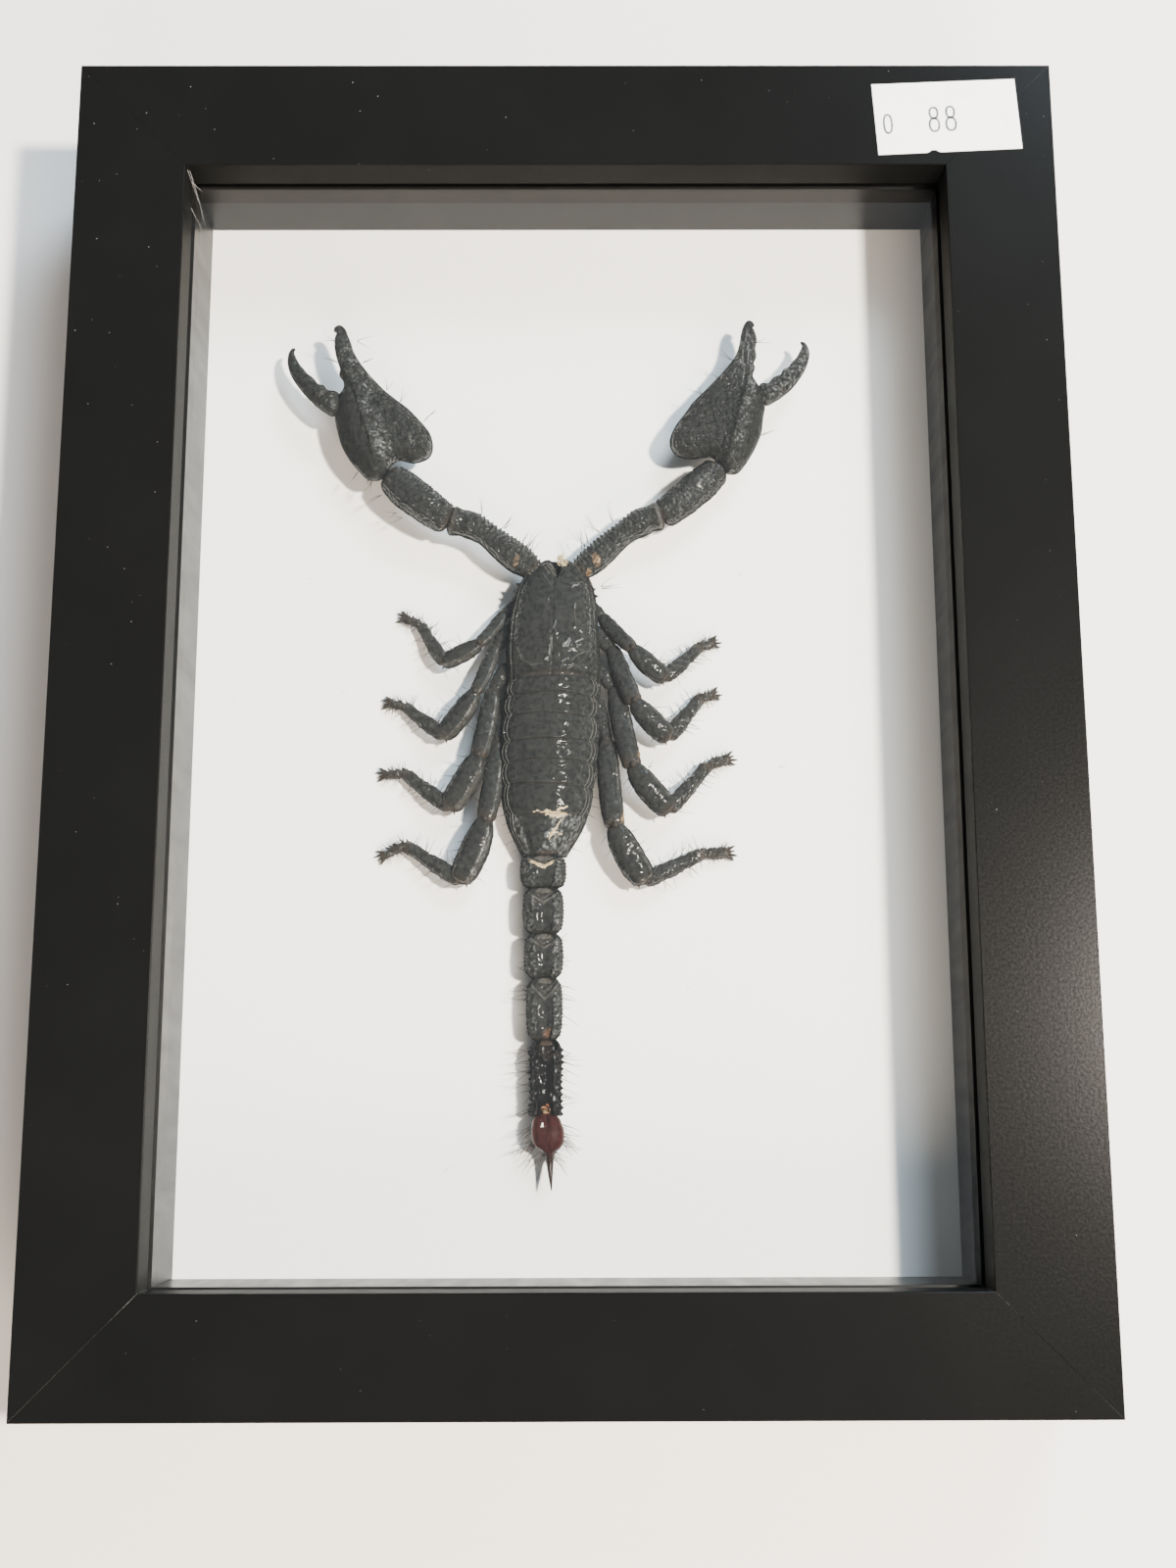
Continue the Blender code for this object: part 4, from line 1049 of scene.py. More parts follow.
def build_tail():
    """Five rings. The last one is a piece of its own, in a darker copy of the shell that paints shade."""
    sides = 132
    angle = np.linspace(0, 2 * math.pi, sides, endpoint=False)
    start = TAIL_START
    rings, last_ring = Shape(), Shape()
    for number, (end, x_mid, half, height) in enumerate(TAIL_RINGS):
        last = number == len(TAIL_RINGS) - 1
        length = start - end
        share = np.concatenate([[0.0, 0.01, 0.03], np.linspace(0.06, 0.95, int(length / 0.13)),
                                [0.97, 0.985, 1.0]])
        t = np.repeat(share, sides)
        a = np.tile(angle, len(share))
        c, s = np.cos(a), np.sin(a)
        if last:
            shares = [0, 0.04, 0.12, 0.25, 0.5, 0.8, 0.93, 1.0]
            profile = flow(shares, [0.66, 0.88, 1.02, 1.05, 1.0, 0.98, 1.04, 0.98], t)
        else:
            shares = [0, 0.05, 0.13, 0.3, 0.55, 0.78, 0.92, 1.0]
            profile = flow(shares, [0.60, 0.78, 0.91, 0.98, 1.0, 0.96, 0.86, 0.68], t)
        rise = flow([0, 0.06, 0.2, 0.5, 0.85, 0.95, 1.0], [0.74, 0.86, 0.97, 1.0, 1.0, 0.95, 0.78], t)
        bottom = 0.1 + (1 - rise) * height * 0.8
        top = height * rise
        widest = bottom + 0.68 * (top - bottom)
        across = powered(c, 0.8)
        spread = np.abs(across)
        x = x_mid + across * half * profile
        reach = np.where(s > 0, top - widest, widest - bottom)
        z = widest + np.sign(s) * np.abs(s) ** 0.72 * reach
        y = start - t * (length + 0.12) + 0.06
        points = np.stack([x, y, z], axis=1)
        upper = step(s, 0.25, 0.6)
        # A hinge lens lies in front of a raised V, behind it a channel between two beaded keels
        lens = 1 - ((across / 0.5) ** 2 + ((t * length - 0.55) / 0.5) ** 2)
        lens = upper * step(lens, 0.0, 0.25)
        vee = 0.10 + (0.15 if last else 0.22) * np.clip(1 - spread / 0.8, 0, 1)
        plate = step(t, vee, vee + 0.035)
        grain = granules(points, 0.55, 31 + number)
        along_beads = beads(y, 0.55, 0.17 * number) ** 2
        middle = fall(spread, 0.40, 0.52)
        dz = -upper * (1 - plate) * fall(spread, 0.6, 0.85) * (0.48 - 0.18 * grain)
        dz += 0.16 * lens
        chevron = bell(t, vee + 0.035, 0.034) * fall(spread, 0.75, 0.85) * upper
        second = bell(t, vee - 0.06, 0.018) * fall(spread, 0.5, 0.6) * upper
        dz += 0.36 * chevron + 0.12 * second
        wavy = soft_noise(points * np.array([1.0, 0.8, 1.0]), 0.9, 57 + number)
        sink = np.minimum(1.6 * (t - TAIL_CRESTS[number]) ** 2, 0.4)
        dz -= upper * plate * (0.34 * bell(across, 0.03, 0.30) + middle * (0.11 * wavy + sink))
        dz += upper * plate * (1 - middle) * 0.16 * grain
        keel = bell(spread, 0.56, 0.06) * upper * window(t, 0.20, 0.30, 0.9, 0.95)
        dz += keel * (0.08 + 0.20 * along_beads)
        dz += upper * 0.28 * bell(spread, 0.56, 0.1) * bell(t, 0.9, 0.03)
        dz += 0.03 * soft_noise(points, 0.6, 50 + number)
        side_keel = bell(spread, 0.85, 0.045) * step(s, 0.05, 0.2) * step(t, 0.08, 0.15)
        dz += side_keel * (0.02 + 0.16 * along_beads)
        flank = step(np.abs(c), 0.5, 0.8) * window(t, 0.06, 0.14, 0.92, 0.97)
        rim = step(np.abs(c), 0.8, 0.97)
        if last:
            knobs = beads(y, 0.95, 0.3 + 0.2 * np.sign(c)) ** 2
            out = flank * (0.36 * rim * knobs + 0.13 * grain)
            out += 0.42 * bell(t, 0.975, 0.022) * rim
            dz += 0.34 * upper * granules(points, 0.85, 44) * (1 - middle)
            dz += 0.10 * upper * soft_noise(points, 0.7, 46)
        else:
            out = flank * (0.20 * rim * along_beads + 0.08 * grain)
        points = points + np.column_stack([np.sign(c) * out, np.zeros(len(points)), dz])
        hinge = upper * (1 - plate) * fall(spread, 0.45, 0.6)
        uneven = 0.35 + 0.65 * step(soft_noise(points, 0.8, 80 + number), -0.4, 0.4)
        light = np.maximum(0.8 * lens, uneven * np.maximum(chevron, 0.6 * second))
        flanks = step(spread, 0.62, 0.8)
        # Glints on the granules beside the channel are painted as pale specks
        marks = {"brown": np.maximum(0.15 * hinge, 0.8 * lens),
                 "dusty": light * (0.12 if last else 1.0), "matt": 0.9 * flanks,
                 "speck": upper * plate * (1 - middle) * grain * (0.25 if last else 0.7 - 0.4 * flanks)}
        if number == 0:
            moved = shaken(points, 0.15, 0.12, 0.5, 73)
            marks["pale"] = np.clip(1.8 * streaks(moved, 5.0, CREAM_BAND), 0, 1) * upper
        if number == 3:
            torn = spot(points, 558, 1054, 5.2, 0.95, 0.7, 70)
            marks["tan"] = np.clip(1.6 * torn, 0, 0.27) * upper
            marks["brown"] = np.maximum(marks["brown"], np.clip(2.5 * torn, 0, 1) * upper)
            marks["ruddy"] = 0.8
        if last:
            marks["tan"] = np.clip(1.8 * spot(points, 557.4, 1132.0, 4.6, 0.85, 0.95), 0, 0.62) * upper
            marks["ruddy"] = np.clip(1.6 * spot(points, 557.4, 1128.5, 4.6, 0.8, 0.62), 0, 1)
            # Painted highlight: single grains painted pale as glints, and raised a little
            for px, py, size in LIT_GRAINS:
                lit = np.clip(1.5 * spot(points, px, py, 5.0, 0.6 * size, size), 0, 1)
                marks["speck"] = np.maximum(marks["speck"], lit)
                points[:, 2] += 0.12 * lit
        shape = last_ring if last else rings
        marks["grain"] = (0.35 if last else 1.0) * (1 - 0.9 * upper * middle * plate)
        shape.add(points, skin(len(share), sides), **marks)
        start = end
    rings.make("tail_rings", SHELL, "shell", ["scorpion_tail"])
    last_ring.make("tail_last_ring", SHADED_SHELL, "shell")


def build_sting():
    """The bulb and its needle as one skin over rings from front to back."""
    table = np.array(STING)[::-1]
    ys = np.concatenate([np.linspace(-60.2, -66.0, 60), np.linspace(-66.1, -71.5, 60)])
    sides = 72
    a = np.tile(np.linspace(0, 2 * math.pi, sides, endpoint=False), len(ys))
    y = np.repeat(ys, sides)
    x_mid, half, bottom, top = (flow(table[:, 0], table[:, k], y) for k in (1, 2, 3, 4))
    c, s = np.cos(a), np.sin(a)
    bulb = step(y, -66.4, -65.0)
    half = half * (1 + 0.14 * bulb + 0.22 * bell(y, -60.9, 0.7))
    widest = bottom + 0.5 * (top - bottom)
    flat = np.where(s > 0, 1 - 0.6 * bulb, 1.0)
    x = x_mid + powered(c, 1 - 0.12 * bulb) * half
    z = widest + np.sign(s) * np.abs(s) ** flat * np.where(s > 0, top - widest, widest - bottom)
    upper = step(s, 0.2, 0.7)
    points = np.stack([x, y, z], axis=1)
    notch = np.exp(-((x - x_mid) / 0.35) ** 2 - ((y + 61.3) / 0.9) ** 2)
    groove = 0.6 * bell(c, -0.04, 0.10) + 1.5 * bell(c, 0.0, 0.30) * bell(y, -61.9, 0.8)
    points[:, 2] -= bulb * upper * (0.13 * groove + 0.6 * notch)
    points[:, 2] += bulb * (0.05 * soft_noise(points, 1.0, 61) + 0.03 * soft_noise(points, 0.4, 62))
    rim = np.maximum(bell(c, -0.88, 0.07), 0.6 * bell(c, 0.93, 0.05)) * bulb * step(s, -0.1, 0.1)
    points[:, 2] += 0.10 * rim
    # A flat facet left of the notch, which catches the light
    glint = (554, 1148, 4.9)
    middle = place(*glint)
    distance = 1 - spot(points, *glint, 0.6, 0.45, 60)
    level = points[(distance < 1) & (s > 0), 2].mean()
    facet = level - 0.27 * (x - middle[0]) - 0.04 * (y - middle[1])
    points[:, 2] += fall(distance, 0.8, 1.3) * upper * (facet - points[:, 2])
    shape = Shape()
    shape.add(points, skin(len(ys), sides), dark=1 - step(y, -67.0, -65.4), rim=rim,
              dull=step(c, 0.12, 0.35) * bulb)
    shape.make("sting_bulb", STING_SHELL, "sting", ["scorpion_sting"])


# Pincers

def along_keel(flat, knuckle, wrist, sign):
    """Return distances to the lobe's side of the line from knuckle to wrist."""
    run = (wrist - knuckle) / np.linalg.norm(wrist - knuckle)
    return sign * ((flat[:, 0] - knuckle[0]) * -run[1] + (flat[:, 1] - knuckle[1]) * run[0])


def build_hand(side):
    """The palm with its fixed finger, a lump over its outline with a keel from knuckle to wrist."""
    tip_level, wrist_level = HAND_LEVELS[side]
    pixels = np.array(HANDS[side])
    low, high = pixels[:, 1].min(), pixels[:, 1].max()
    outline = []
    for px, py in pixels:
        level = tip_level + (wrist_level - tip_level) * (py - low) / (high - low)
        outline.append(place(px, py, level)[:2])
    outline = np.array(outline)
    sign = 1.0 if side == "left" else -1.0
    tip_y, wrist_y = outline[:, 1].max(), outline[:, 1].min()
    knuckle, wrist = place(*KNUCKLES[side], 6.5)[:2], place(*WRISTS[side], 6.5)[:2]
    seed = 70 if side == "left" else 90
    rough_from = -1.3 if side == "left" else -2.6

    def profile(flat, distance):
        share = (tip_y - flat[:, 1]) / (tip_y - wrist_y)
        middle = tip_level + (wrist_level - tip_level) * share
        half = flow([0, 0.06, 0.2, 0.38, 0.55, 0.75, 0.92, 1.0],
                    [0.55, 0.8, 1.15, 1.75, 2.6, 3.0, 2.5, 1.7], share)
        reach = flow([0, 0.1, 0.3, 0.45, 0.6, 1.0], [0.6, 0.85, 1.1, 1.9, 2.8, 2.6], share)
        dome = np.sqrt(1 - (1 - np.clip(distance / reach, 0, 1)) ** 2)
        away = along_keel(flat, knuckle, wrist, sign)
        palm = step(share, 0.3, 0.5)
        lobe_drop = 0.65 * (1 - np.exp(-np.clip(away, 0, None) / 1.8))
        outer = np.clip(-away, 0, None)
        top = half * dome - palm * dome * (lobe_drop + 0.12 * outer + 0.08 * outer ** 2)
        here = flattened(flat)
        free = np.clip(distance / 0.35, 0, 1)
        rough_side = step(away, rough_from, rough_from + 1.0) * step(share, 0.16, 0.3)
        net = here @ np.array([[0.8, -0.5, 0], [0.5, 0.8, 0], [0, 0, 1.0]])
        net[:, 1] *= 0.7
        grains = np.clip(1.25 - (cell_distance(net, 0.5, seed) / 0.5) ** 2, 0, 1)
        large = granules(here, 0.75, seed + 5)
        broad = soft_noise(here, 1.8, seed + 9)
        relief = rough_side * (0.15 * grains + 0.10 * large) + (1 - rough_side) * 0.03 * grains
        relief += palm * (0.14 * broad + 0.07 * soft_noise(here, 0.9, seed + 2)) * (0.3 + 0.7 * rough_side)
        keel = bell(away, 0.0, 0.3) * window(share, 0.3, 0.42, 0.85, 0.97)
        relief += keel * (0.12 + 0.16 * beads(flat[:, 1], 0.6))
        finger = 1 - step(share, 0.26, 0.4)
        relief += finger * 0.12 * soft_noise(here * np.array([1.4, 0.6, 1]), 0.7, seed + 3)
        rim = bell(distance, 0.3, 0.25) * step(share, 0.3, 0.45) * step(away, 1.0, 2.5)
        relief += 0.14 * rim * granules(here, 0.55, seed + 7)
        return middle + top + relief * free, middle - half * dome * 0.9

    points, faces = lump(outline, 0.135, profile)
    away = along_keel(points, knuckle, wrist, sign)
    share = (tip_y - points[:, 1]) / (tip_y - wrist_y)
    here = flattened(points)
    # Painted highlight: pale flecks on the granules of the band that faces the light stand for glints
    glint_flecks = granules(here, 0.42, seed + 12) * step(soft_noise(here, 1.4, seed + 13), -0.8, 0.3)
    if side == "left":
        across = bell(away, 1.2, 1.5)
    else:
        across = np.maximum(bell(away, -0.9, 1.0), 1 - step(share, 0.3, 0.4))
    lit_band = across * window(share, 0.06, 0.2, 0.9, 0.98)
    speck = glint_flecks * (0.1 + 0.9 * lit_band) * step(away, rough_from + 0.5, rough_from + 1.1)
    if side == "right":
        # The fixed finger's crests are painted pale as highlights
        worn = np.clip(1.5 * streaks(points, 7.0, FINGER_CRESTS), 0, 1)
        speck = np.maximum(speck, 0.8 * worn * (0.5 + 0.5 * granules(points, 0.5, seed + 14)))
    matt = 0.35 * fall(away, rough_from - 1.0, rough_from) * step(share, 0.4, 0.55)
    grain = 0.3 + 0.7 * step(away, rough_from, rough_from + 1.1)
    shape = Shape()
    shape.add(points, faces, matt=matt, speck=speck, grain=grain)
    shape.make("hand_" + side, SHELL, "shell", ["pincer_hand_" + side])


def build_finger(side):
    """The moving finger, a lump over its outline."""
    tip_level, base_level = FINGER_LEVELS[side]
    pixels = np.array(FINGERS[side])
    tip, base = pixels[1], np.array(FINGER_ROOTS[side], float)
    run = base - tip
    outline = []
    for point in pixels:
        share = np.clip((point - tip) @ run / (run @ run), 0, 1)
        outline.append(place(*point, tip_level + (base_level - tip_level) * share)[:2])
    outline = np.array(outline)
    tip_mm, base_mm = place(*tip, tip_level)[:2], place(*base, base_level)[:2]
    run_mm = base_mm - tip_mm
    seed = 110 if side == "left" else 130

    def profile(flat, distance):
        share = np.clip((flat - tip_mm) @ run_mm / (run_mm @ run_mm), 0, 1)
        middle = tip_level + (base_level - tip_level) * share
        half = flow([0, 0.1, 0.35, 0.6, 0.85, 1.0], [0.3, 0.55, 0.95, 1.5, 1.75, 1.5], share)
        reach = flow([0, 0.1, 0.35, 0.6, 1.0], [0.35, 0.6, 1.05, 1.6, 1.8], share)
        dome = np.sqrt(1 - (1 - np.clip(distance / reach, 0, 1)) ** 2)
        here = flattened(flat)
        relief = 0.14 * soft_noise(here, 0.7, seed) + 0.10 * granules(here, 0.4, seed + 1)
        relief -= 0.35 * bell(share, 0.83, 0.03)
        return (middle + half * dome + relief * np.clip(distance / 0.35, 0, 1),
                middle - half * dome * 0.9)

    points, faces = lump(outline, 0.13, profile)
    share = np.clip((points[:, :2] - tip_mm) @ run_mm / (run_mm @ run_mm), 0, 1)
    shape = Shape()
    # The right finger's granules get painted glints as pale specks
    shape.add(points, faces, brown=0.25 * bell(share, 0.83, 0.03), grain=0.6,
              speck=(0.1 if side == "left" else 0.8) * granules(points, 0.5, seed + 2),
              matt=0.5 if side == "left" else 0.0)
    shape.make("finger_" + side, SHELL, "shell", ["pincer_finger_" + side])


def build_arm(side):
    """Patella and femur, with the pegs of the wrist joint."""
    patella, femur = ARMS[side]
    # Angles run round the limb from its lower edge in the photograph over the top, for either side
    forward = (lambda angle: angle) if side == "left" else (lambda angle: 180 - angle)
    seed = 150 if side == "left" else 170
    lit = 140 if side == "left" else 85

    def patella_relief(data, points):
        angle, along, share = data["angle"], data["along"], data["share"]
        grain = granules(points, 0.42, seed)
        small = 0.05 + 0.12 * ridge(angle, forward(lit), 45) + (0.08 if side == "right" else 0.0)
        out = small * grain
        rows = ridge(angle, forward(132), 8) + 0.8 * ridge(angle, forward(165), 9)
        out += 0.24 * rows * beads(along, 0.55) ** 2 * step(share, 0.08, 0.2)
        out += 0.13 * ridge(angle, forward(52), 8) - 0.10 * ridge(angle, forward(72), 14)
        out += 0.16 * ridge(angle, forward(8), 12) * beads(along, 0.6) ** 2
        out += 0.10 * soft_noise(points, 1.3, seed + 1) + 0.05 * soft_noise(points, 0.6, seed + 2)
        return out

    def femur_relief(data, points):
        angle, along, share = data["angle"], data["along"], data["share"]
        grain = granules(points, 0.5, seed + 3)
        beyond = window(share, 0.17, 0.26, 0.9, 0.97)
        rows = ridge(angle, forward(178), 13) + 0.9 * ridge(angle, forward(138), 9)
        rows += 0.5 * ridge(angle, forward(100), 8)
        out = 0.46 * rows * beads(along, 0.72) ** 2 * beyond
        out += 0.15 * grain * ridge(angle, forward(130), 60) * beyond + 0.04 * grain
        out += 0.14 * ridge(angle, forward(55), 8) * beyond
        out += 0.16 * bell(share, 0.055, 0.03) - 0.14 * bell(share, 0.14, 0.03)
        out += 0.10 * soft_noise(points, 1.2, seed + 4)
        return out

    shape = Shape()
    points, faces, data = limb(patella, 0.13, 84, 0.9, (1.3, 1.2), 0.86, patella_relief)
    # Painted highlight: the patella's granules on its lit side carry pale specks as glints
    shape.add(points, faces, brown=0.3 * bell(data["share"], 0.97, 0.05), grain=0.5,
              speck=0.85 * granules(points, 0.42, seed) * ridge(data["angle"], forward(lit), 27))
    points, faces, data = limb(femur, 0.13, 84, 0.92, (0.9, 1.0), 0.84, femur_relief)
    tan = np.max([spot(points, px, py, 5.6, *form) for px, py, *form in ARM_TEARS[side]], axis=0)
    tan = np.clip(1.5 * tan, 0, 0.32 if side == "left" else 0.52) * step(points[:, 2], 4.4, 5.0)
    brown = 0.4 * bell(data["share"], 0.0, 0.06) + 0.35 * step(data["share"], 0.84, 0.93)
    brown = np.maximum(brown, np.clip(2 * tan, 0, 0.8))
    dusty = (0.3 if side == "left" else 0.9) * bell(data["share"], 0.06, 0.014)
    dusty = dusty * step(points[:, 2], 4.6, 5.2)
    # Painted highlight: pale specks as glints on the femur's granules and bead rows
    grains = 0.5 * granules(points, 0.5, seed + 3) * ridge(data["angle"], forward(130), 42)
    rows = ridge(data["angle"], forward(168), 13) + ridge(data["angle"], forward(134), 8)
    glint_crests = rows * beads(data["along"], 0.72) ** 2 * step(data["share"], 0.17, 0.26)
    shape.add(points, faces, tan=tan, brown=brown, dusty=dusty, grain=0.8,
              speck=np.clip(np.maximum(grains, 0.9 * glint_crests), 0, 1))
    # Rounded pegs of the wrist joint
    wrist = np.array(patella[0][:3])
    inward = np.array([patella[1][0] - wrist[0], patella[1][1] - wrist[1], 0])
    inward /= np.linalg.norm(inward)
    across = np.array([-inward[1], inward[0], 0])
    for shift in (-0.85, 0.9):
        middle = wrist + inward * 1.5 + across * shift + np.array([0, 0, 1.45])
        peg = [(*(middle - inward * 0.7), 0.35), (*middle, 0.6), (*(middle + inward * 0.8), 0.38)]
        add_peg(shape, peg, 0.12, 20, (0.3, 0.3), brown=0.2, grain=0.2)
    shape.make("arm_" + side, SHELL, "shell", ["pincer_arm_" + side])


# Legs

def build_leg(side, number):
    """Make one leg of five segments, and return the segments that carry hairs."""
    joints, widths = LEGS[side][number - 1], LEG_WIDTHS[side][number - 1]
    seed = 200 + 10 * number + (0 if side == "left" else 50)
    # A beaded crest runs along the femur and the patella; a flat flank lies to the right of it
    crest = 122 if side == "left" else 136
    flank = 152 if side == "left" else 160
    shape = Shape()
    hairs = []
    for k, (start, end) in enumerate(zip(joints[:-1], joints[1:])):
        a = np.array([*start, LEG_LEVELS[k]])
        b = np.array([*end, LEG_LEVELS[k + 1]])
        length = np.linalg.norm(b - a)
        along = (b - a) / length
        a = a - along * SEGMENT_OVERLAP[k][0]
        b = b + along * SEGMENT_OVERLAP[k][1]
        toe = b
        if k == FOOT:
            b = b - along * 0.9
        shares, factors = SEGMENT_PROFILES[k]
        wide = widths[k]
        bow = np.array([-along[1], along[0], 0]) * (0.25 if k in (FEMUR, PATELLA) else 0.1)
        bow = bow if side == "left" else -bow
        stations = []
        for share in np.linspace(0, 1, 12):
            half = float(flow(shares, factors, [share])[0]) * wide
            centre = a + (b - a) * share + bow * math.sin(math.pi * share)
            stations.append((*centre, half))

        def relief(data, points, k=k, wide=wide):
            angle, run, share = data["angle"], data["along"], data["share"]
            grain = granules(points, 0.62, seed + k)
            out = (0.06 if k < TIBIA else 0.12) * grain + 0.06 * soft_noise(points, 1.1, seed + 9 + k)
            out += (0.07 if k < TIBIA else 0.03) * soft_noise(points, 0.5, seed + 19 + k)
            if k in (FEMUR, PATELLA):
                line = ridge(angle, crest, 7) * window(share, 0.06, 0.16, 0.9, 0.97)
                out += wide * (0.04 + 0.07 * beads(run, 0.6, 0.13 * number)) * line
                out -= wide * (0.09 if side == "left" else 0.05) * ridge(angle, flank, 20)
                rear = 0 if side == "left" else 180
                out += 0.09 * ridge(angle, rear + 20, 16) * beads(run, 0.5) * step(share, 0.2, 0.4)
            if k >= TIBIA:
                out += 0.10 * soft_noise(points, 0.7, seed + 5 + k)
            return out * step(data["close"], 0.3, 0.9)

        cap = min(0.8 * wide, 0.9)
        pitch, sides = (0.14, 66) if k in (FEMUR, PATELLA) else (0.16, 40)
        points, faces, data = limb(stations, pitch, sides, 0.82, (cap, cap), 0.9, relief)
        joint_brown = 0.55 * bell(data["share"], 1.0, 0.09) + 0.4 * bell(data["share"], 0.0, 0.07)
        brown = joint_brown * (1.0 if k < TIBIA else 1.3) + {TIBIA: 0.05, FOOT: 0.22}.get(k, 0.0)
        tan = np.zeros(len(points))
        if side == "right" and number == 4 and k == FEMUR:
            tan = spot(points, 636, 835, 3.8, 0.45, 1.2, -8)
        if side == "right" and number == 3 and k == FEMUR:
            tan = spot(points, 652, 771, 4.0, 0.3, 1.2, 5) - 0.2
        line = 0.0
        if k in (FEMUR, PATELLA):
            line = ridge(data["angle"], crest, 7) * step(data["share"], 0.06, 0.16)
        # Painted highlight: pale specks as glints on the granules, and a pale line along the lit crest
        broken = 0.35 + 0.65 * step(soft_noise(points, 0.8, seed + 30), -0.2, 0.4)
        speck = (0.15 if k < TIBIA else 0.3) * granules(points, 0.62, seed + k)
        dusty = 0.9 * line * broken
        # The left legs get a painted highlight band on the flank that faces the light
        if side == "left" and k in (FEMUR, PATELLA):
            lit_band = ridge(data["angle"], crest + 20, 17) * step(data["share"], 0.1, 0.25)
            lit_band = lit_band * fall(data["share"], 0.85, 0.95) * (1.0 if k == PATELLA else 0.6)
            grains = granules(points, 0.4, seed + 31)
            dusty = np.maximum(dusty, lit_band * (0.3 + 0.7 * grains))
            patchy = step(soft_noise(points, 1.1, seed + 32), -0.5, 0.3)
            speck = np.maximum(speck, 0.95 * lit_band * grains * patchy)
            speck = np.maximum(speck, 0.8 * line * broken * patchy)
        shape.add(points, faces, brown=brown, tan=np.clip(1.5 * tan, 0, 1), matt=0.05 * k,
                  speck=speck, grain=(0.3, 0.1, 0.2, 0.5, 0.8)[k], dusty=dusty)
        # Spurs and knobs at the end of the segment
        if k in (PATELLA, TIBIA):
            for turn in (-1, 1):
                cross = np.array([-along[1], along[0], 0]) * turn
                root = b - along * 0.55 + cross * wide * 0.45
                tip = root + along * 0.75 + cross * 0.4 - np.array([0, 0, 0.15])
                spine = [(*root, 0.2), (*((root + tip) / 2), 0.14), (*tip, 0.04)]
                add_peg(shape, spine, 0.1, 8, (0.08, 0.05), brown=0.6)
        if k == FEMUR:
            knob = b - along * 0.5 + np.array([0, 0, 0.75 * wide])
            path = [(*(knob - along * 0.5), 0.3), (*knob, 0.42), (*(knob + along * 0.5), 0.3)]
            add_peg(shape, path, 0.12, 16, (0.25, 0.25), brown=0.3)
        if k == FOOT:
            add_claws(shape, a, toe, wide, seed)
        if k >= PATELLA:
            hairs.append((side, a, b, wide, k))
    shape.make(f"walking_leg_{side}_{number}", SHELL, "shell", [f"leg_{side}_{number}"])
    return hairs


def add_claws(shape, ankle, toe, wide, seed):
    """Four splayed prongs at the toe, and stout bristles along the foot."""
    draws = np.random.default_rng(seed)
    run = toe - ankle
    along = run / np.linalg.norm(run)
    cross = np.array([-along[1], along[0], 0])
    prongs = ((-1.0, 1.25, 1.0), (-0.35, 1.15, 1.45), (0.3, 1.3, 1.2), (1.0, 1.2, 1.15))
    for spread, start, size in prongs:
        root = toe - along * start + cross * spread * wide * 0.55
        path = []
        for t, out, half in ((0, 0.0, 0.26), (0.45, 0.32, 0.22), (0.85, 0.6, 0.15), (1.15, 0.68, 0.04)):
            middle = root + along * t * size + cross * out * spread
            path.append((*(middle + np.array([0, 0, 0.05 - 0.25 * t * t])), half))
        add_peg(shape, path, 0.08, 10, (0.1, 0.06), brown=0.45, grain=1.0)
    for _ in range(24):
        turn = draws.choice((-1, 1))
        share = draws.uniform(0.0, 0.85)
        root = ankle + run * share + cross * turn * wide * 0.6
        root = root + np.array([0, 0, draws.uniform(-0.1, 0.25)])
        tip = root + along * draws.uniform(0.35, 0.7) + cross * turn * draws.uniform(0.3, 0.6)
        spine = [(*root, 0.17), (*((root + tip) / 2), 0.13), (*tip, 0.04)]
        add_peg(shape, spine, 0.12, 7, (0.07, 0.05), brown=0.45)


# Hairs

class Hairs:
    """Thin tapered strands, gathered in one shape."""

    def __init__(self, seed):
        self.shape = Shape()
        self.draws = np.random.default_rng(seed)

    def add(self, root, direction, length, bend=0.2, thick=0.07):
        direction = np.asarray(direction, float)
        direction /= np.linalg.norm(direction)
        sideways = np.cross(direction, [0, 0, 1.0])
        sideways /= max(np.linalg.norm(sideways), 1e-6)
        up = np.cross(sideways, direction)
        curl = self.draws.uniform(-bend, bend)
        sag = self.draws.uniform(-bend, bend) * 0.5
        rings = []
        for t in np.linspace(0, 1, 6):
            centre = root + direction * length * t + (sideways * curl + up * sag) * length * t * t
            radius = thick * (1 - 0.7 * t)
            for angle in (0.3, 2.4, 4.5):
                rings.append(centre + (sideways * math.cos(angle) + up * math.sin(angle)) * radius)
        points = np.array(rings)
        points[:, 2] = np.maximum(points[:, 2], 0.06)
        self.shape.add(points, skin(6, 3))

    def fringe(self, a, b, side, count, spread, length, lean=0.3):
        """Grow hairs along the line from a to b, out to one side of it."""
        a, b = np.asarray(a, float), np.asarray(b, float)
        run = b - a
        along = run / np.linalg.norm(run)
        cross = np.array([-along[1], along[0], 0]) * side
        for _ in range(count):
            share = self.draws.uniform(0.05, 0.95)
            root = a + run * share + cross * spread * 0.85
            way = cross + along * self.draws.normal(lean, 0.35)
            way = way + np.array([0, 0, self.draws.uniform(-0.2, 0.5)])
            self.add(root, way, self.draws.uniform(*length))


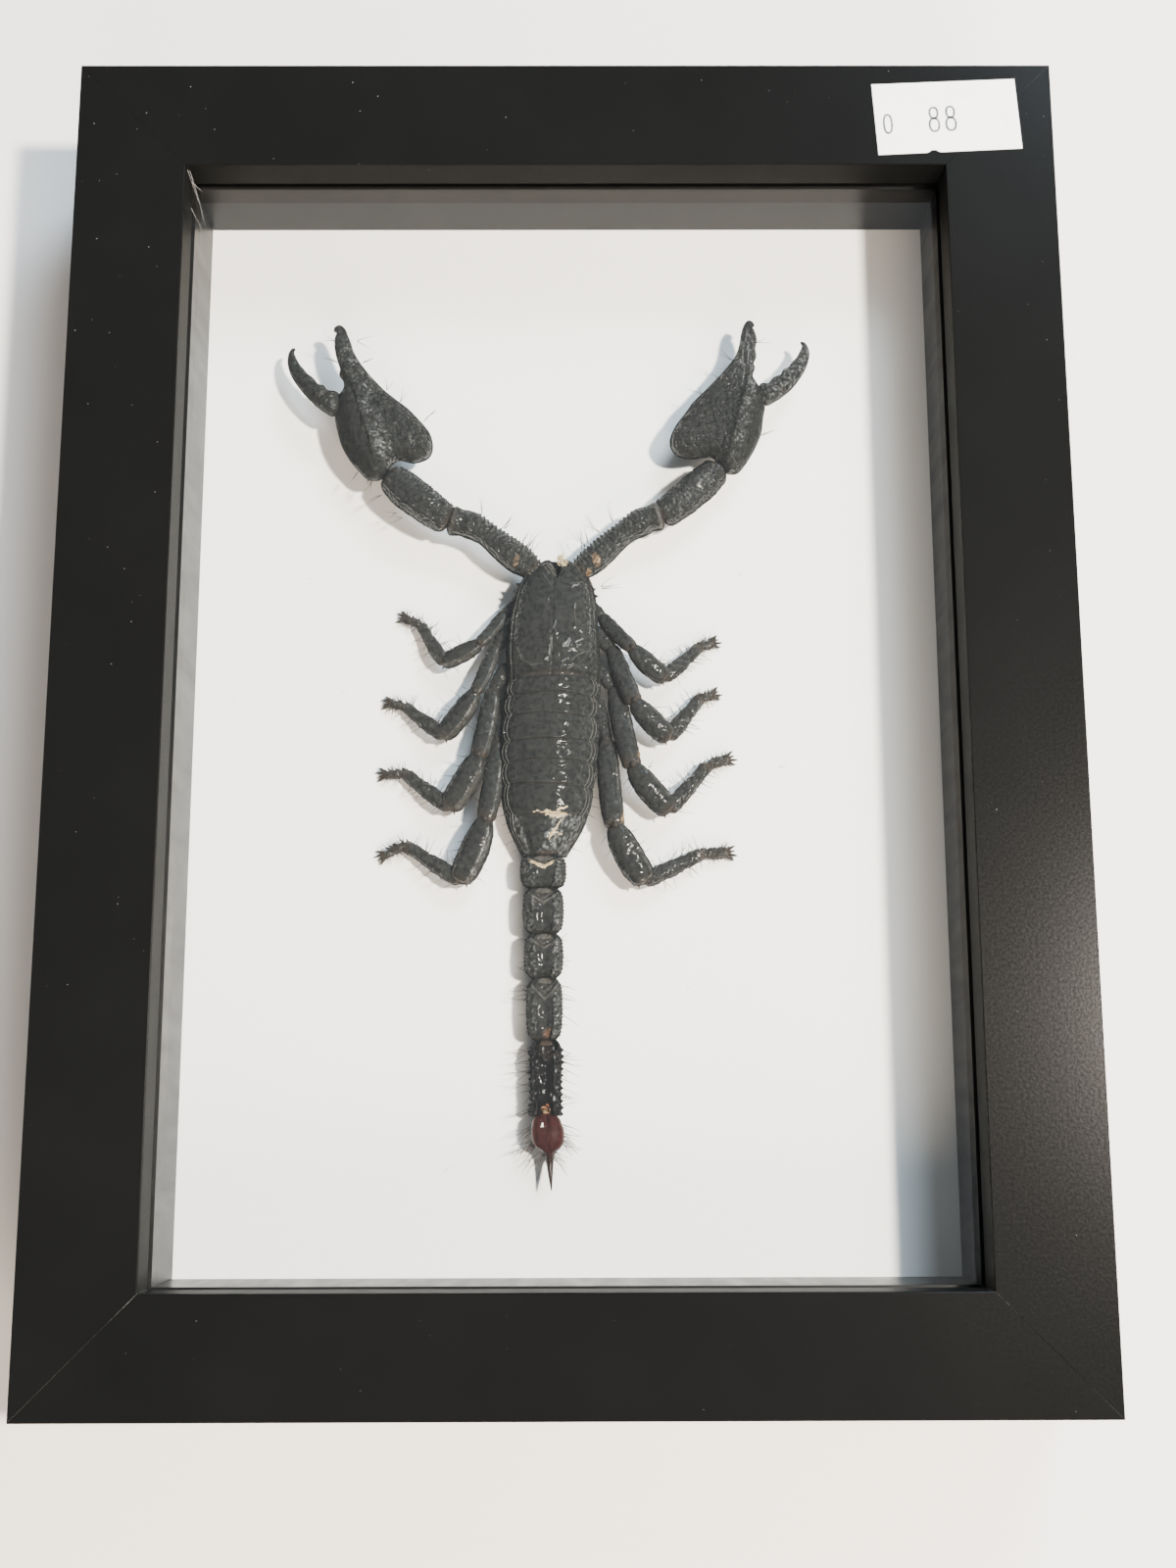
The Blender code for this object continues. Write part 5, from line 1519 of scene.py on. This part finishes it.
def build_hairs(segments):
    """All the fine hairs of legs, tail, hands, arms and back plates, as one piece."""
    hairs = Hairs(5)
    for side, a, b, wide, k in segments:
        outer = -1 if side == "left" else 1
        counts = {PATELLA: (5, 3), TIBIA: (13, 9), FOOT: (12, 10)}[k]
        size = {PATELLA: (0.8, 2.2), TIBIA: (0.9, 2.6), FOOT: (0.5, 1.5)}[k]
        hairs.fringe(a, b, outer, counts[0], wide, size)
        hairs.fringe(a, b, -outer, counts[1], wide, size)
    # Tail: sparse on the fourth ring, thick on the fifth and on the bulb
    for side in (-1, 1):
        hairs.fringe((-3.55, -33.5, 3.0), (-3.5, -40, 3.0), side, 5, 2.7, (1.2, 2.8), lean=0.2)
        hairs.fringe((-3.5, -40.5, 3.0), (-3.45, -49, 3.0), side, 9, 2.5, (1.5, 3.8), lean=0.1)
        hairs.fringe((-3.4, -49.6, 3.0), (-3.2, -60.3, 3.0), side, 22, 2.1, (2.0, 4.2), lean=0.35)
        hairs.fringe((-3.1, -61.3, 2.8), (-2.9, -65.2, 2.8), side, 24, 1.8, (2.2, 4.6), lean=0.75)
        hairs.fringe((-2.8, -65.2, 2.8), (-2.7, -67.2, 3.0), side, 9, 0.7, (2.2, 3.8), lean=1.1)
    # Pairs of hairs on the hands and arms
    for spots, level, rise, scatter, size in ((HAND_HAIRS, 6.6, 0.3, 0.3, (1.2, 2.8)),
                                              (ARM_HAIRS, 5.2, 0.4, 0.25, (1.4, 3.6))):
        for px, py, ux, uy in spots:
            for _ in range(2):
                way = np.array([ux, uy, rise]) + hairs.draws.normal(0, scatter, 3)
                hairs.add(place(px, py, level), way, hairs.draws.uniform(*size))
    # Flanks of the rear back plates
    for side in (-1, 1):
        for y in np.linspace(-12, -20, 7):
            root = np.array([-3.3 + side * (6.4 + (y + 14) * 0.42), y, 2.6])
            hairs.add(root, (side, -0.4, 0.1), hairs.draws.uniform(1.0, 2.4))
    hairs.shape.make("fine_hairs", HAIR, "shell")


def build_jaws():
    """Two dark jaw lobes in front of the carapace and the pale tuft between them."""
    shape = Shape()
    for x, tip_x in ((-3.3, -3.1), (0.1, -0.2)):
        path = [(x, 22.0, 4.4, 1.2), (x, 23.6, 4.4, 1.3), (tip_x, 25.0, 4.1, 1.0), (tip_x, 25.7, 3.8, 0.6)]
        points, faces, _ = limb(path, 0.15, 40, 0.9, (0.8, 0.8),
                                relief=lambda data, points: 0.06 * granules(points, 0.4, 300))
        shape.add(points, faces)
    shape.make("jaw_lobes", SHELL, "shell")
    tuft = Hairs(12)
    for px, py, count, spread in ((571.5, 572, 40, 0.28), (575, 576.5, 40, 0.25)):
        middle = place(px, py, 6.4)
        for _ in range(count):
            root = middle + np.array([*tuft.draws.normal(0, spread, 2), tuft.draws.normal(-0.2, 0.25)])
            way = [tuft.draws.normal(mean, width) for mean, width in ((-0.2, 0.5), (0.9, 0.4), (0.3, 0.3))]
            tuft.add(root, way, tuft.draws.uniform(0.35, 0.75), 0.4, 0.1)
    tuft.shape.make("pale_tuft", TUFT, "shell")


# Frame

def build_frame():
    """One moulding with crisp edges all round, joined by hairline mitres."""
    left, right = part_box("frame_rail_left")[0].x / MM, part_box("frame_rail_right")[1].x / MM
    bottom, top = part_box("frame_rail_bottom")[0].y / MM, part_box("frame_rail_top")[1].y / MM
    lip = FRONT - LIP_DEPTH
    section = [(0.25, 0.0), (RAIL - LIP_WIDTH, 0.0), (RAIL - LIP_WIDTH, lip), (RAIL - 0.08, lip),
               (RAIL, lip + 0.08), (RAIL, FRONT - 0.2), (RAIL - 0.05, FRONT - 0.07), (RAIL - 0.18, FRONT)]
    section += [(inwards, FRONT) for inwards in np.linspace(RAIL - 1.5, 1.5, 12)]
    section += [(0.18, FRONT), (0.05, FRONT - 0.07), (0.0, FRONT - 0.2), (0.0, 0.25)]
    section = np.array(section)
    inwards, level = section[:, 0], section[:, 1]
    face = level > FRONT - 0.01
    corners = [(left, bottom, 1, 1), (right, bottom, -1, 1), (right, top, -1, -1), (left, top, 1, -1)]
    points, worn = [], []
    for k, (x, y, in_x, in_y) in enumerate(corners):
        for shift, depth in ((-0.07, 0.0), (0.0, 0.03), (0.07, 0.0)):
            back_on_x = (shift < 0) != (k % 2 == 0)
            move = abs(shift)
            px = x + in_x * (inwards + (move if back_on_x else 0.0))
            py = y + in_y * (inwards + (0.0 if back_on_x else move))
            points.append(np.column_stack([px, py, level - depth * face - CARD_TOP]))
            inner, outer = MITRE_WEAR[k]
            share = inwards / RAIL
            amount = inner * step(share, 0.72, 1.0) + outer * step(-share, -0.4, 0.0)
            worn.append(amount * (1.0 if depth else 0.0))
    sides = len(section)
    rows = len(points)
    faces = [[(row * sides + i), (row * sides + (i + 1) % sides),
              ((row + 1) % rows * sides + (i + 1) % sides), ((row + 1) % rows * sides + i)]
             for row in range(rows) for i in range(sides)]
    shape = Shape()
    inner_wall = (inwards > RAIL - 0.04) & (level > lip + 0.04) & (level < FRONT - 0.1)
    shape.add(np.concatenate(points), faces, worn=np.concatenate(worn),
              inner=np.tile(np.where(inner_wall, 1.0, 0.0), rows))
    names = ["frame_rail_" + side for side in ("bottom", "left", "right", "top")]
    shape.make("mitred_frame", frame_material(), "frame", names, smooth=False)


def build_lint():
    """A few loose fibres on the card and dust threads in the frame's upper left corner."""
    lint = Hairs(31)
    for px, py, ux, uy, size in ((754, 588.5, 0.6, 0.8, 0.7), (315, 592, 1, 0.3, 0.45),
                                 (350, 706, 1, 0.1, 0.5), (794, 783, 1, -0.2, 1.3),
                                 (455, 1195, 0.4, 1, 0.9), (700, 1010, 1, 0.6, 0.6)):
        lint.add(place(px, py, 0.12), (ux, uy, 0), size, 0.5, 0.05)
    lint.shape.make("loose_fibres", GREY_FIBRE, "card")
    threads = Hairs(33)
    # The threads' feet lie just above the glass
    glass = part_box("glass_pane")[1].z / MM - CARD_TOP + 0.15
    for start, end, top in (((190, 169), (203, 208), FRONT - CARD_TOP - 1.0),
                            ((193, 172), (212, 230), FRONT - CARD_TOP - 1.6),
                            ((189, 200), (205, 232), glass + 1.2), ((196, 186), (207, 196), glass + 2.0)):
        a, b = place(*start, top), place(*end, glass)
        way = b - a
        threads.add(a, way, np.linalg.norm(way), 0.06, 0.035)
    threads.shape.make("dust_threads", PALE_DUST, "frame")


# Label

def build_label():
    """A thin sheet with a small tear in its lower edge, and plain figures as ink strokes on it."""
    front = FRONT - CARD_TOP
    bottom = front + 0.012
    q = [place(*corner, front + 0.15)[:2] for corner in LABEL_CORNERS]
    across, down = 60, 34
    points = []
    for layer in (0, 1):
        for j in range(down + 1):
            for i in range(across + 1):
                u, w = i / across, j / down
                if j == down and 0.345 < u < 0.425:
                    w -= 0.055 * (1 - abs(u - 0.385) / 0.04)
                upper = q[0] + (q[1] - q[0]) * u
                lower = q[3] + (q[2] - q[3]) * u
                drop = 0.05 * (1 - step(min(u, 1 - u, w, 1 - w), 0.0, 0.03))
                level = bottom + (LABEL_THICKNESS - drop if layer else 0.0)
                points.append((*(upper + (lower - upper) * w), level))
    wide = across + 1
    size = wide * (down + 1)
    faces = []
    for j in range(down):
        for i in range(across):
            k = j * wide + i
            faces.append([k, k + 1, k + wide + 1, k + wide])
            faces.append([size + k, size + k + wide, size + k + wide + 1, size + k + 1])
    rim = [*range(across), *(j * wide + across for j in range(down)),
           *(down * wide + i for i in range(across, 0, -1)), *(j * wide for j in range(down, 0, -1))]
    for a, b in zip(rim, rim[1:] + rim[:1]):
        faces.append([a, b, size + b, size + a])
    shape = Shape()
    shape.add(np.array(points), faces)
    shape.make("paper_label", label_material(), "label", ["price_label"], smooth=False)
    ink = Shape()
    right = (q[1] - q[0]) / np.linalg.norm(q[1] - q[0])
    up = np.array([-right[1], right[0]])
    turns = 36
    angles = np.linspace(0, 2 * math.pi, turns, endpoint=False)
    ink_bottom = bottom + LABEL_THICKNESS - 0.005
    for px, py, loops in LABEL_FIGURES:
        middle = place(px, py, front + 0.15)[:2]
        for dy, wide, high in loops:
            points, faces = [], []
            for c, s in zip(powered(np.cos(angles), 0.85), powered(np.sin(angles), 0.85)):
                for radius in (-0.17, 0.17):
                    flat = middle + right * (c * (wide + radius)) + up * (dy + s * (high + radius))
                    points += [(*flat, ink_bottom), (*flat, ink_bottom + 0.02)]
            for k in range(turns):
                a, b = 4 * k, 4 * ((k + 1) % turns)
                faces += [[a + 1, a + 3, b + 3, b + 1], [a, b, b + 2, a + 2],
                          [a, a + 1, b + 1, b], [a + 2, b + 2, b + 3, a + 3]]
            ink.add(np.array(points), faces)
    ink.make("label_figures", ink_material(), "label", smooth=False)


# Studio

def build_studio():
    """The photograph's camera, a pale floor and soft light from above."""
    scene = bpy.context.scene
    camera = bpy.data.objects.new("camera", bpy.data.cameras.new("camera"))
    scene.collection.objects.link(camera)
    camera.location = CAMERA_PLACE
    camera.rotation_euler = CAMERA_TURN
    camera.data.sensor_fit = "VERTICAL"
    camera.data.sensor_height = SENSOR
    camera.data.lens = PHOTO_FOCAL / PHOTO_HEIGHT * SENSOR
    camera.data.clip_start = 0.01
    scene.camera = camera
    mesh = bpy.data.meshes.new("floor")
    reach = 1.5
    mesh.from_pydata([(-reach, -reach, 0), (reach, -reach, 0), (reach, reach, 0), (-reach, reach, 0)],
                     [], [(0, 1, 2, 3)])
    mesh.materials.append(FLOOR)
    floor = bpy.data.objects.new("floor", mesh)
    scene.collection.objects.link(floor)
    world = bpy.data.worlds.new("studio")
    world.use_nodes = True
    scene.world = world
    tree = world.node_tree
    background = tree.nodes["Background"]
    background.inputs["Color"].default_value = (0.92, 0.96, 1.0, 1.0)
    way = node(tree, "SeparateXYZ", {"Vector": node(tree, "TexCoord").outputs["Generated"]}).outputs
    height = plus(plus(way["Z"], times(way["X"], 0.25)), times(way["Y"], 0.15))
    join(ramp(height, 0.3, 1.0, 0.10, 0.44), background, "Strength")
    add_light("key", (0.475, 0.0, 0.88), 0.07, 36.5, (1.0, 0.89, 0.78))
    # The broad lights leave no reflection; a small lamp in the same place gives the glints
    for name, direction, size, power, color in (
            ("cool", (0.36, 0.64, 0.68), 0.36, 15.0, (0.68, 0.84, 1.0)),
            ("warm", (0.2, -0.8, 0.57), 0.5, 15.0, (1.0, 0.82, 0.66))):
        add_light(name, direction, size, power, color).visible_glossy = False
        add_light(name + " lamp", direction, 0.08, 0.3 * power, color).visible_diffuse = False


def add_light(name, direction, size, power, color):
    data = bpy.data.lights.new(name, "AREA")
    data.shape = "DISK"
    data.size = size
    data.energy = power
    data.color = color
    light = bpy.data.objects.new(name, data)
    way = Vector(direction).normalized()
    light.location = way * LIGHT_DISTANCE
    light.rotation_euler = way.to_track_quat("Z", "Y").to_euler()
    bpy.context.scene.collection.objects.link(light)
    return light


build_studio()
build_body()
build_tail()
build_sting()
for hand_side in ("left", "right"):
    build_hand(hand_side)
    build_finger(hand_side)
    build_arm(hand_side)
hairy_segments = []
for leg_side in ("left", "right"):
    for leg_number in (1, 2, 3, 4):
        hairy_segments += build_leg(leg_side, leg_number)
build_hairs(hairy_segments)
build_jaws()
build_frame()
build_lint()
build_label()
